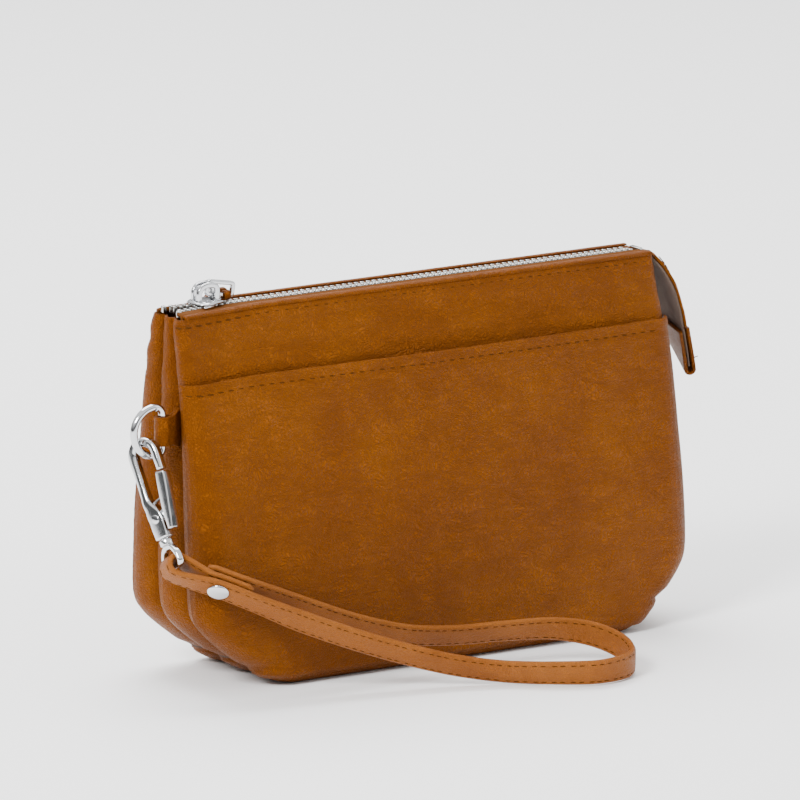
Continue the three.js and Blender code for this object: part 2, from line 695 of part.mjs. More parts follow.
// Each station holds a point on the strap's middle and its lean: degrees from upright, top to the front.
function strapStations() {
  const { eye, across } = strapFrames();
  const fold = strapThickness / 2 + eyeWire / 2 + 0.75;
  const out = rivetFront.clone().sub(eye);
  out.addScaledVector(across, -out.dot(across)).normalize();
  const front = out.clone().cross(across).normalize();
  const round = (degrees) =>
    eye.clone().addScaledVector(front, fold * Math.cos(rad(degrees))).addScaledVector(out, -fold * Math.sin(rad(degrees)));
  const rest = strapWidth / 2 + floorRoom;
  // out from the ring's bar, forward from the wallet's front, and a share of the rivet's height.
  const lean = (out, forward, share, degrees) => {
    const at = vec(ringBarX + out, -1.5 * lobePitch - forward, mix(rest, rivetFront.z, share));
    return { at, lean: degrees };
  };
  const eyeWrap = [0, 45, 90, 135, 180].map((degrees) => ({ at: round(degrees), across }));
  return [
    { at: layerAt(2, -5.5), across: rivetAcross },
    { at: layerAt(2, 0), across: rivetAcross },
    { at: layerAt(2, 6), across: rivetAcross },
    lean(39.2, 8.75, 0.688, 34),
    lean(58.2, 10.25, 0.4636, 34),
    lean(77.2, 12.25, 0.3003, 34),
    lean(95.2, 14.75, 0.242, 34),
    lean(112.2, 18.75, 0.242, 32),
    lean(129.2, 23.75, 0.2303, 26),
    lean(140.7, 29.75, 0.1662, 14),
    lean(146.2, 37.75, 0.0787, 4),
    lean(145.2, 46.75, 0.0146, 0),
    lean(138.2, 54.15, 0.0029, 6),
    lean(125.2, 56.35, 0, 16),
    lean(112.2, 49.75, 0, 24),
    lean(99.2, 39.25, 0.0029, 30),
    lean(83.2, 31.75, 0.0875, 32),
    lean(66.6, 26.15, 0.2362, 33),
    lean(50.2, 21.35, 0.4111, 34),
    lean(33.5, 16.75, 0.6152, 35),
    { at: layerAt(0, 12).addScaledVector(rivetNormal, 0.2), across: rivetAcross },
    { at: layerAt(0, 0), across: rivetAcross },
    ...eyeWrap,
    { at: layerAt(1, -5), across: rivetAcross },
    { at: layerAt(1, 0), across: rivetAcross },
    { at: layerAt(1, 11).addScaledVector(rivetNormal, 0.2), across: rivetAcross },
  ];
}

function strapBody() {
  const stations = strapStations();
  const route = new THREE.CatmullRomCurve3(stations.map((station) => station.at), false, 'centripetal');
  const leans = stations.map((station, i) => {
    const tangent = route.getTangent(i / (stations.length - 1));
    return station.across ?? leaning(station.lean, tangent);
  });
  const leanRoute = new THREE.CatmullRomCurve3(leans);
  const frameAt = (s) => {
    const middle = route.getPoint(s);
    const tangent = route.getTangent(s);
    const across = leanRoute.getPoint(s);
    across.addScaledVector(tangent, -across.dot(tangent)).normalize();
    return { middle, across, normal: tangent.clone().cross(across).normalize() };
  };
  const steps = 4 * (stations.length - 1);
  const solid = strip(frameAt, steps, strapWidth, strapThickness);
  return cut(solid, bar(layerAt(-2, 0), layerAt(4, 0), rivetPostRadius + gap, 12));
}

// The rivet: a domed cap with its post, and a flat washer head behind the last layer.
function turnedAlongRivet(profile) {
  const lathe = new THREE.LatheGeometry(profile.map(([x, y]) => new THREE.Vector2(x, y)), 16);
  return lathe.applyQuaternion(new THREE.Quaternion().setFromUnitVectors(vec(0, 1, 0), rivetNormal));
}

const strapFace = () => strapThickness / 2 + gap + 0.1;

function rivetCap() {
  const low = -strapFace() - 2 * layerStep();
  const top = strapFace();
  const cap = turnedAlongRivet([
    [0, low], [rivetPostRadius, low], [rivetPostRadius, top], [rivetCapRadius, top], [rivetCapRadius, top + 0.4],
    [rivetCapRadius * 0.72, top + 1.15], [0, top + 1.5],
  ]);
  return cap.translate(rivetFront.x, rivetFront.y, rivetFront.z);
}

function rivetWasher() {
  const face = -strapFace() - 2 * layerStep() - gap;
  const washer = turnedAlongRivet([[0, face - 1.0], [2.6, face - 0.8], [2.9, face], [0, face]]);
  return washer.translate(rivetFront.x, rivetFront.y, rivetFront.z);
}

// ---- The whole wallet ---------------------------------------------------------------------------------
[['front_pouch', -1], ['middle_pouch', 0], ['rear_pouch', 1]].forEach(([name, pouch]) => {
  pouchPanels(pouch, name);
  pouchLining(pouch, name);
});
slipPocket();

add('zip_tape_front', tape(-1), 'tape');
add('zip_tape_rear', tape(1), 'tape');
add('zip_teeth_front', teethRow(-1), 'chrome');
add('zip_teeth_rear', teethRow(1), 'chrome');
add('zip_top_stop_front', topStop(-1), 'chrome');
add('zip_top_stop_rear', topStop(1), 'chrome');
add('zip_bottom_stop', bottomStop(), 'chrome');
add('zip_slider', sliderBody(), 'chrome');
add('zip_pull_link', pullLink(), 'chrome');
add('zip_pull_tab', pullTab(), 'leather');

add('zip_tail_cover', tailCover(), 'leather');
add('zip_tail_tape', tailTape(), 'lining');
add('zip_end_tab', endTab(), 'leather');

add('ring_tab', ringTab(), 'leather');
add('d_ring', ringBody(), 'chrome');

const clasp = new THREE.Group();
clasp.applyMatrix4(claspPlace());
wallet.add(clasp);
add('clasp_hook', hookBody(), 'chrome', clasp);
add('clasp_gate', gateBody(), 'chrome', clasp);
add('clasp_pivot_pin', pivotPin(), 'steel', clasp);
add('clasp_gate_spring', gateSpring(), 'steel', clasp);
const swivel = new THREE.Group();
swivel.rotation.y = rad(eyeTurn);
clasp.add(swivel);
add('swivel_eye', swivelBody(), 'chrome', swivel);

add('wrist_strap', strapBody(), 'strapLeather');
add('rivet_cap', rivetCap(), 'chrome');
add('rivet_washer', rivetWasher(), 'chrome');

export default wallet;
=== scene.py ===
"""The looks of a soft leather wristlet wallet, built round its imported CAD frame.

Lengths in the code are millimetres, in the frame's own axes: +X right along the zip, +Y to the back,
+Z up. They become metres where a mesh is made.
"""

from __future__ import annotations

import json
import logging
import math
from dataclasses import dataclass, field
from enum import Enum
from typing import Callable, Sequence

import bmesh
import bpy
from mathutils import Matrix, Vector, noise

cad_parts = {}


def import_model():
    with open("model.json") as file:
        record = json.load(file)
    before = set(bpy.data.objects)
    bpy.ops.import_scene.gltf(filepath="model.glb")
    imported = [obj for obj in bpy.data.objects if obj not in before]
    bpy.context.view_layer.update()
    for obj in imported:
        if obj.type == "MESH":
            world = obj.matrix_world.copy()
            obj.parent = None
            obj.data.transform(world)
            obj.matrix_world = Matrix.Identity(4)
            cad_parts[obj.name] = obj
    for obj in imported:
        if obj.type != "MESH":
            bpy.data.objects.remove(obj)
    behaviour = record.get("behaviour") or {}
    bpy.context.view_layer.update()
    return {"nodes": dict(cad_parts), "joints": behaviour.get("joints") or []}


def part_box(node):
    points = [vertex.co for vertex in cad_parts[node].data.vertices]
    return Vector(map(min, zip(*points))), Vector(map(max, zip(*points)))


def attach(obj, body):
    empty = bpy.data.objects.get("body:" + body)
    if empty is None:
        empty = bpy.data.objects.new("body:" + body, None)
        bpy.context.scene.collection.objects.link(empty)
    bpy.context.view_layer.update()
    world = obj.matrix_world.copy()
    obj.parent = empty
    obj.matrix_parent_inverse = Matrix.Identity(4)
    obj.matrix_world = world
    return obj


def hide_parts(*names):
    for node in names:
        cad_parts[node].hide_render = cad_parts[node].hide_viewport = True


LOG = logging.getLogger("wallet")
MM = 0.001

Place = Callable[[int, int], Vector]


def clamp(value: float, low: float = 0.0, high: float = 1.0) -> float:
    """Keeps a value between two limits.

    Args:
        value: the value.
        low: the lower limit.
        high: the upper limit.

    Returns:
        The value, moved to the nearer limit if it is outside them.
    """
    return max(low, min(high, value))


def mix(a: float, b: float, t: float) -> float:
    """The value a share t of the way from a to b."""
    return a + (b - a) * t


def smooth(t: float) -> float:
    """An S-shaped rise from 0 to 1."""
    t = clamp(t)
    return t * t * (3 - 2 * t)


def bell(x: float, width: float) -> float:
    """A bump of height 1 at 0 that has nearly gone at twice its width."""
    return math.exp(-((x / width) ** 2))


# ---- Materials ------------------------------------------------------------------------------------------


def linear(colour: str) -> tuple[float, float, float, float]:
    """A hex colour as it is written for screens, as linear light.

    Args:
        colour: six hex digits after a #.

    Returns:
        Red, green, blue and an alpha of 1.
    """
    parts = [int(colour[i : i + 2], 16) / 255 for i in (1, 3, 5)]
    light = [c / 12.92 if c <= 0.04045 else ((c + 0.055) / 1.055) ** 2.4 for c in parts]
    return (*light, 1.0)


class NodeSheet:
    """The node tree of one new material."""

    def __init__(self, name: str) -> None:
        """Starts an empty node tree under that name."""
        self.material = bpy.data.materials.new(name)
        self.material.use_nodes = True
        self.tree = self.material.node_tree
        self.tree.nodes.clear()

    def add(self, kind: str, links: dict[str, object] | None = None, **settings: object) -> bpy.types.Node:
        """Adds a node.

        Args:
            kind: the node's type, without its ShaderNode prefix.
            links: input name to a value, or to the output socket that feeds it.
            settings: the node's own properties.

        Returns:
            The new node.
        """
        node = self.tree.nodes.new("ShaderNode" + kind)
        for key, value in settings.items():
            setattr(node, key, value)
        for key, value in (links or {}).items():
            socket = node.inputs[key] if isinstance(key, int) else node.inputs.get(key)
            if isinstance(value, bpy.types.NodeSocket):
                self.tree.links.new(value, socket)
            else:
                socket.default_value = value
        return node

    def ramp(self, factor: bpy.types.NodeSocket, stops: Sequence[tuple[float, str]]) -> bpy.types.NodeSocket:
        """Adds a colour ramp.

        Args:
            factor: what drives it.
            stops: positions and hex colours, in order.

        Returns:
            Its colour output.
        """
        node = self.add("ValToRGB", {"Fac": factor})
        elements = node.color_ramp.elements
        while len(elements) < len(stops):
            elements.new(0.5)
        for element, (position, colour) in zip(elements, stops):
            element.position = position
            element.color = linear(colour)
        return node.outputs["Color"]

    def scaled(self, height: bpy.types.NodeSocket, factor: float) -> bpy.types.NodeSocket:
        """A height multiplied by a factor."""
        return self.add("Math", {0: height, 1: factor}, operation="MULTIPLY").outputs[0]

    def total(self, a: bpy.types.NodeSocket, b: bpy.types.NodeSocket) -> bpy.types.NodeSocket:
        """The sum of two heights."""
        return self.add("Math", {0: a, 1: b}, operation="ADD").outputs[0]

    def finish(self, **shader: object) -> bpy.types.Material:
        """Ends the tree in a Principled shader.

        Args:
            shader: the shader's inputs, with _ for each space in their names.

        Returns:
            The finished material.
        """
        principled = self.add("BsdfPrincipled", {k.replace("_", " "): v for k, v in shader.items()})
        self.add("OutputMaterial", {"Surface": principled.outputs[0]})
        return self.material


@dataclass(frozen=True)
class Leather:
    """Drum-dyed, tumbled cowhide: a pebbled grain with soft creases, cloudy in colour, satin on top."""

    name: str
    deep: str
    body: str
    light: str
    grain_mm: float
    grain_depth: float
    crease_depth: float
    roughness: float

    def build(self) -> bpy.types.Material:
        """Makes the material. The eye sees cloudy dye, darker pores, a grain that catches the light, and a
        faint painted shade along the creases.
        """
        sheet = NodeSheet(self.name)
        place = sheet.add("TexCoord").outputs["Object"]
        per_metre = 1 / (self.grain_mm * MM)
        wander = sheet.add("TexNoise", {"Vector": place, "Scale": 90.0, "Detail": 3.0})
        bent = sheet.add(
            "MixRGB", {"Fac": 0.012, "Color1": place, "Color2": wander.outputs["Color"]}, blend_type="ADD"
        ).outputs["Color"]
        cells = sheet.add(
            "TexVoronoi", {"Vector": bent, "Scale": per_metre, "Randomness": 1.0}, feature="DISTANCE_TO_EDGE"
        ).outputs["Distance"]
        pebbles = sheet.add(
            "MapRange", {"Value": cells, "From Min": 0.0, "From Max": 0.22}, interpolation_type="SMOOTHSTEP"
        ).outputs["Result"]
        fine = sheet.add(
            "TexNoise", {"Vector": place, "Scale": per_metre * 2.6, "Detail": 4.0}
        ).outputs["Fac"]
        slow = sheet.add("TexNoise", {"Vector": place, "Scale": 26.0, "Detail": 5.0, "Roughness": 0.6})
        long = sheet.add(
            "Mapping", {"Vector": place, "Scale": (0.45, 1.0, 1.5), "Rotation": (0.0, 0.35, 0.0)}
        )
        crease = sheet.add(
            "TexNoise",
            {"Vector": long.outputs[0], "Scale": 150.0, "Detail": 6.0, "Roughness": 0.62, "Distortion": 0.8}
        ).outputs["Fac"]
        folded = sheet.add("Math", {0: crease, 1: 0.5}, operation="SUBTRACT").outputs[0]
        ridge = sheet.add("Math", {0: folded}, operation="ABSOLUTE").outputs[0]
        line = sheet.add(
            "MapRange", {"Value": ridge, "From Max": 0.06}, interpolation_type="SMOOTHSTEP"
        ).outputs[0]
        cloud = sheet.ramp(slow.outputs["Fac"], [(0.3, self.deep), (0.5, self.body), (0.72, self.light)])
        pores = sheet.add("MapRange", {"Value": pebbles, "To Min": 0.8, "To Max": 1.0}).outputs[0]
        dark = sheet.add("MixRGB", {"Fac": 1.0, "Color1": cloud, "Color2": pores}, blend_type="MULTIPLY")
        # Painted shade: the colour is darkened by 3% along the crease lines, where shade falls in the
        # grooves.
        colour = sheet.add(
            "MixRGB", {"Fac": 0.03, "Color1": dark.outputs[0], "Color2": line}, blend_type="MULTIPLY"
        )
        grain = sheet.total(
            sheet.scaled(pebbles, self.grain_depth), sheet.scaled(fine, self.grain_depth * 0.5)
        )
        relief = sheet.total(grain, sheet.scaled(line, self.crease_depth))
        bump = sheet.add("Bump", {"Height": relief, "Strength": 0.75, "Distance": 0.001})
        rough = sheet.add(
            "MapRange", {"Value": fine, "To Min": self.roughness - 0.06, "To Max": self.roughness + 0.1}
        ).outputs[0]
        return sheet.finish(
            Base_Color=colour.outputs[0], Roughness=rough, Normal=bump.outputs[0], Specular_IOR_Level=0.3,
            Specular_Tint=linear("#f0b070")
        )


@dataclass(frozen=True)
class PlatedMetal:
    """Die-cast zinc or drawn steel, polished and nickel plated: bright, with faint wipe marks."""

    name: str
    colour: str
    roughness: float

    def build(self) -> bpy.types.Material:
        """Makes the material. The eye sees sharp reflections that blur a little from spot to spot."""
        sheet = NodeSheet(self.name)
        place = sheet.add("TexCoord").outputs["Object"]
        wipe = sheet.add("TexNoise", {"Vector": place, "Scale": 900.0, "Detail": 4.0}).outputs["Fac"]
        rough = sheet.add(
            "MapRange", {"Value": wipe, "To Min": self.roughness * 0.6, "To Max": self.roughness * 1.6}
        )
        bump = sheet.add("Bump", {"Height": wipe, "Strength": 0.05, "Distance": 0.0001})
        return sheet.finish(
            Base_Color=linear(self.colour), Metallic=1.0, Roughness=rough.outputs[0], Normal=bump.outputs[0]
        )


@dataclass(frozen=True)
class Weave:
    """Woven polyester: fine crossed ribs, matt, with a little variation between its yarns."""

    name: str
    dark: str
    light: str
    yarn_mm: float

    def build(self) -> bpy.types.Material:
        """Makes the material. The eye sees a dull cloth whose ribs run both ways."""
        sheet = NodeSheet(self.name)
        place = sheet.add("TexCoord").outputs["Object"]
        rate = 1 / (self.yarn_mm * MM) / 2
        warp, weft = (
            sheet.add(
                "TexWave", {"Vector": place, "Scale": rate, "Distortion": 0.4}, bands_direction=way
            ).outputs["Fac"]
            for way in ("X", "DIAGONAL")
        )
        cross = sheet.add("Math", {0: warp, 1: weft}, operation="MULTIPLY").outputs[0]
        fuzz = sheet.add("TexNoise", {"Vector": place, "Scale": rate * 1.7, "Detail": 3.0}).outputs["Fac"]
        height = sheet.total(cross, sheet.scaled(fuzz, 0.6))
        bump = sheet.add("Bump", {"Height": height, "Strength": 0.5, "Distance": 0.0002})
        colour = sheet.ramp(height, [(0.2, self.dark), (0.9, self.light)])
        return sheet.finish(
            Base_Color=colour, Roughness=0.85, Normal=bump.outputs[0], Specular_IOR_Level=0.15
        )


@dataclass(frozen=True)
class Thread:
    """Bonded polyester sewing thread: twisted and nearly matt."""

    name: str
    dark: str
    light: str

    def build(self) -> bpy.types.Material:
        """Makes the material. The eye sees slanting plies in each stitch."""
        sheet = NodeSheet(self.name)
        place = sheet.add("TexCoord").outputs["Object"]
        ply = sheet.add(
            "TexWave", {"Vector": place, "Scale": 1400.0, "Distortion": 1.0}, bands_direction="DIAGONAL"
        ).outputs["Fac"]
        bump = sheet.add("Bump", {"Height": ply, "Strength": 0.4, "Distance": 0.0001})
        return sheet.finish(
            Base_Color=sheet.ramp(ply, [(0.1, self.dark), (0.8, self.light)]), Roughness=0.6,
            Normal=bump.outputs[0],
            Specular_IOR_Level=0.05
        )


@dataclass(frozen=True)
class StudioPaper:
    """Matt seamless backdrop paper, nearly white."""

    name: str
    colour: str

    def build(self) -> bpy.types.Material:
        """Makes the material. The eye sees a plain pale sweep with no texture of its own."""
        sheet = NodeSheet(self.name)
        return sheet.finish(Base_Color=linear(self.colour), Roughness=0.9, Specular_IOR_Level=0.2)


class Finish(Enum):
    """Each finish the wallet uses."""

    BAG = Leather("tumbled cowhide, tan", "#673305", "#6f3906", "#7b4209", 0.95, 0.5, 0.3, 0.47)
    STRAP = Leather("pressed cowhide strap, tan", "#83491c", "#8c5121", "#975b29", 0.7, 0.25, 0.12, 0.46)
    NICKEL = PlatedMetal("die-cast zinc, nickel plated", "#cfd0d2", 0.09)
    ZIP_METAL = PlatedMetal("stamped brass teeth, nickel plated", "#c4c3c0", 0.2)
    SPRING = PlatedMetal("cold-rolled spring steel", "#9b9c9e", 0.3)
    LINING = Weave("polyester lining twill", "#4a3d36", "#6b5a50", 0.35)
    TAPE = Weave("woven polyester zip tape", "#57300c", "#6b3e13", 0.5)
    THREAD = Thread("bonded polyester thread", "#2c1603", "#553009")
    PAPER = StudioPaper("matt backdrop paper", "#fbfbfb")

    @property
    def material(self) -> bpy.types.Material:
        """The finish's material, made the first time it is asked for."""
        return bpy.data.materials.get(self.value.name) or self.value.build()


SEAM_PITCH = 3.9  # millimetres from one stitch of the bag's seams to the next


# ---- Mesh helpers ---------------------------------------------------------------------------------------


def to_object(name: str, bm: bmesh.types.BMesh, finish: Finish) -> bpy.types.Object:
    """Turns a working mesh in millimetres into an object in metres, with its faces outward.

    Args:
        name: the object's name.
        bm: the working mesh, which is freed.
        finish: its material.

    Returns:
        The new object, at the origin.
    """
    name = name.replace(" ", "_")
    bmesh.ops.remove_doubles(bm, verts=bm.verts, dist=0.002)
    bmesh.ops.dissolve_degenerate(bm, edges=bm.edges, dist=0.0005)
    bmesh.ops.recalc_face_normals(bm, faces=bm.faces)
    bmesh.ops.scale(bm, vec=Vector((MM, MM, MM)), verts=bm.verts)
    mesh = bpy.data.meshes.new(name)
    for face in bm.faces:
        face.smooth = True
    bm.to_mesh(mesh)
    bm.free()
    mesh.materials.append(finish.material)
    made = bpy.data.objects.new(name, mesh)
    bpy.context.scene.collection.objects.link(made)
    return made


def grid(bm: bmesh.types.BMesh, columns: int, rows: int, place: Place, caps: bool = False) -> None:
    """Adds a grid whose points are placed by their column and row. Edges that meet are merged later.

    Args:
        bm: the mesh it is added to.
        columns: how many faces it has one way.
        rows: how many it has the other way.
        place: gives the point at a column and row.
        caps: True to close the open ends of a tube that wraps round in its columns.
    """
    made = bmesh.ops.create_grid(bm, x_segments=columns, y_segments=rows, size=1.0)["verts"]
    order = sorted(made, key=lambda v: (round(v.co.y, 5), round(v.co.x, 5)))
    for index, vertex in enumerate(order):
        vertex.co = place(index % (columns + 1), index // (columns + 1))
    if caps:
        merged = set(made)
        bmesh.ops.remove_doubles(bm, verts=list(merged), dist=0.002)
        edges = [e for e in bm.edges if e.is_boundary]
        bmesh.ops.holes_fill(bm, edges=edges, sides=0)


@dataclass
class Frame:
    """A point on a route with the directions across it and out of it."""

    middle: Vector
    across: Vector
    normal: Vector

    def at(self, across: float, out: float) -> Vector:
        """The point that far across and out from the middle."""
        return self.middle + self.across * across + self.normal * out


class Spline:
    """A smooth curve through points, spaced by the square root of their distances."""

    def __init__(self, points: Sequence[Vector]) -> None:
        """Takes the points, with one more past each end."""
        first = points[0] * 2 - points[1]
        last = points[-1] * 2 - points[-2]
        self.points = [first, *points, last]

    def __call__(self, share: float) -> Vector:
        """The point at a share of the way, each stretch between two points counting the same."""
        stretch = clamp(share) * (len(self.points) - 3)
        i = min(int(stretch), len(self.points) - 4)
        p = self.points[i : i + 4]
        knots = [0.0]
        for a, b in zip(p, p[1:]):
            knots.append(knots[-1] + max((b - a).length, 1e-6) ** 0.5)
        t = mix(knots[1], knots[2], stretch - i)
        level = list(p)
        for width in (1, 2, 3):
            level = [
                self.between(level[k], level[k + 1], *self.knots_for(knots, k, width), t)
                for k in range(len(level) - 1)
            ]
        return level[0]

    @staticmethod
    def knots_for(knots: Sequence[float], k: int, width: int) -> tuple[float, float]:
        """The two knots that a step of the curve's pyramid runs between."""
        return (knots[k], knots[k + 1]) if width == 1 else (
            (knots[k], knots[k + 2]) if width == 2 else (knots[1], knots[2])
        )

    @staticmethod
    def between(a: Vector, b: Vector, low: float, high: float, t: float) -> Vector:
        """The point between a and b that the knots give."""
        return a * ((high - t) / (high - low)) + b * ((t - low) / (high - low))

    def tangent(self, share: float) -> Vector:
        """The direction of the curve."""
        step = 1e-3
        return (self(min(share + step, 1.0)) - self(max(share - step, 0.0))).normalized()

    def even(self, count: int) -> list[float]:
        """Shares that lie evenly along the curve's length.

        Args:
            count: how many stretches to divide it into.

        Returns:
            count + 1 shares from 0 to 1.
        """
        fine = 600
        spots = [self(i / fine) for i in range(fine + 1)]
        run = [0.0]
        for a, b in zip(spots, spots[1:]):
            run.append(run[-1] + (b - a).length)
        shares, at = [], 0
        for k in range(count + 1):
            goal = run[-1] * k / count
            while at < fine - 1 and run[at + 1] < goal:
                at += 1
            shares.append((at + (goal - run[at]) / max(run[at + 1] - run[at], 1e-9)) / fine)
        return [clamp(s) for s in shares]


def rounded_section(
    half_width: float, half_height: float, radius: float, corner: int
) -> list[tuple[float, float]]:
    """Points round a rectangle with round corners.

    Args:
        half_width: half its size across.
        half_height: half its size out.
        radius: of its corners.
        corner: how many edges each corner has.

    Returns:
        The points, in order, the last not repeating the first.
    """
    radius = min(radius, half_width, half_height)
    points = []
    for quarter in range(4):
        cx = (half_width - radius) * (1 if quarter in (0, 3) else -1)
        cy = (half_height - radius) * (1 if quarter in (0, 1) else -1)
        for k in range(corner + 1):
            angle = math.pi / 2 * (quarter + k / corner)
            points.append((cx + radius * math.cos(angle), cy + radius * math.sin(angle)))
    return points


def sweep(
    bm: bmesh.types.BMesh,
    frames: Sequence[Frame],
    section: Callable[[int], Sequence[tuple[float, float]]],
    closed: bool = False,
) -> None:
    """Adds a solid that carries a section along frames.

    Args:
        bm: the mesh it is added to.
        frames: the route.
        section: gives the section at a frame, always with as many points.
        closed: True for a ring, whose last frame repeats its first.
    """
    around = len(section(0))

    def place(column: int, row: int) -> Vector:
        """A corner of the section at one frame."""
        across, out = section(row)[column % around]
        return frames[row].at(across, out)

    grid(bm, around, len(frames) - 1, place, caps=not closed)


def rod(
    bm: bmesh.types.BMesh, start: Vector, end: Vector, radius: float, sides: int = 20, ease: float = 0.15
) -> None:
    """Adds a round bar with eased ends between two points."""
    axis = end - start
    turn = Vector((0, 0, 1)).rotation_difference(axis).to_matrix().to_4x4()
    made = bmesh.ops.create_cone(
        bm, cap_ends=True, segments=sides, radius1=radius, radius2=radius, depth=axis.length,
        matrix=Matrix.Translation((start + end) / 2) @ turn,
    )["verts"]
    rims = {e for v in made for e in v.link_edges if any(len(f.verts) > 4 for f in e.link_faces)}
    bmesh.ops.bevel(
        bm, geom=list(rims), offset=min(ease, radius * 0.5), segments=3, profile=0.5, affect="EDGES",
        material=-1
    )


def stitches(
    name: str, spots: Sequence[Frame], length: float, width: float, finish: Finish
) -> bpy.types.Object:
    """Makes a row of stitches, one plump bead of thread at each frame.

    Args:
        name: the object's name.
        spots: one frame to a stitch, across being along the seam.
        length: of a stitch.
        width: of the thread.
        finish: its material.

    Returns:
        The row as one object.
    """
    bm = bmesh.new()
    for spot in spots:
        side = spot.across.cross(spot.normal).normalized()
        basis = Matrix(
            (spot.across * length / 2, side * width / 2, spot.normal * width * 0.42)
        ).transposed().to_4x4()
        basis.translation = spot.middle
        bmesh.ops.create_uvsphere(bm, u_segments=8, v_segments=6, radius=1.0, matrix=basis)
    return to_object(name, bm, finish)


def seam_frames(
    path: Callable[[float], Vector], out: Callable[[float], Vector], pitch: float, sink: float
) -> list[Frame]:
    """Frames for the stitches along a seam.

    Args:
        path: the seam's point at a share of its way.
        out: the direction off the leather there.
        pitch: from one stitch to the next.
        sink: how far each stitch is let into the leather.

    Returns:
        One frame to a stitch, leaning a little, as a needle leaves them.
    """
    line = Spline([path(i / 40) for i in range(41)])
    length = sum((line((i + 1) / 400) - line(i / 400)).length for i in range(400))
    count = max(int(length / pitch), 2)
    shares = line.even(count)
    frames = []
    for a, b in zip(shares, shares[1:]):
        share = (a + b) / 2
        along = line.tangent(share)
        normal = out(share)
        normal = (normal - along * normal.dot(along)).normalized()
        lean = along.cross(normal) * 0.1
        frames.append(Frame(line(share) - normal * sink, (along + lean).normalized(), normal))
    return frames


def show(made: bpy.types.Object, body: str, *nodes: str) -> bpy.types.Object:
    """Lets a piece ride on a body and stand for CAD nodes, and logs it."""
    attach(made, body)
    if nodes:
        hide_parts(*nodes)
    LOG.info("%s: %d faces on %s", made.name, len(made.data.polygons), body)
    return made


# ---- Pouches --------------------------------------------------------------------------------------------


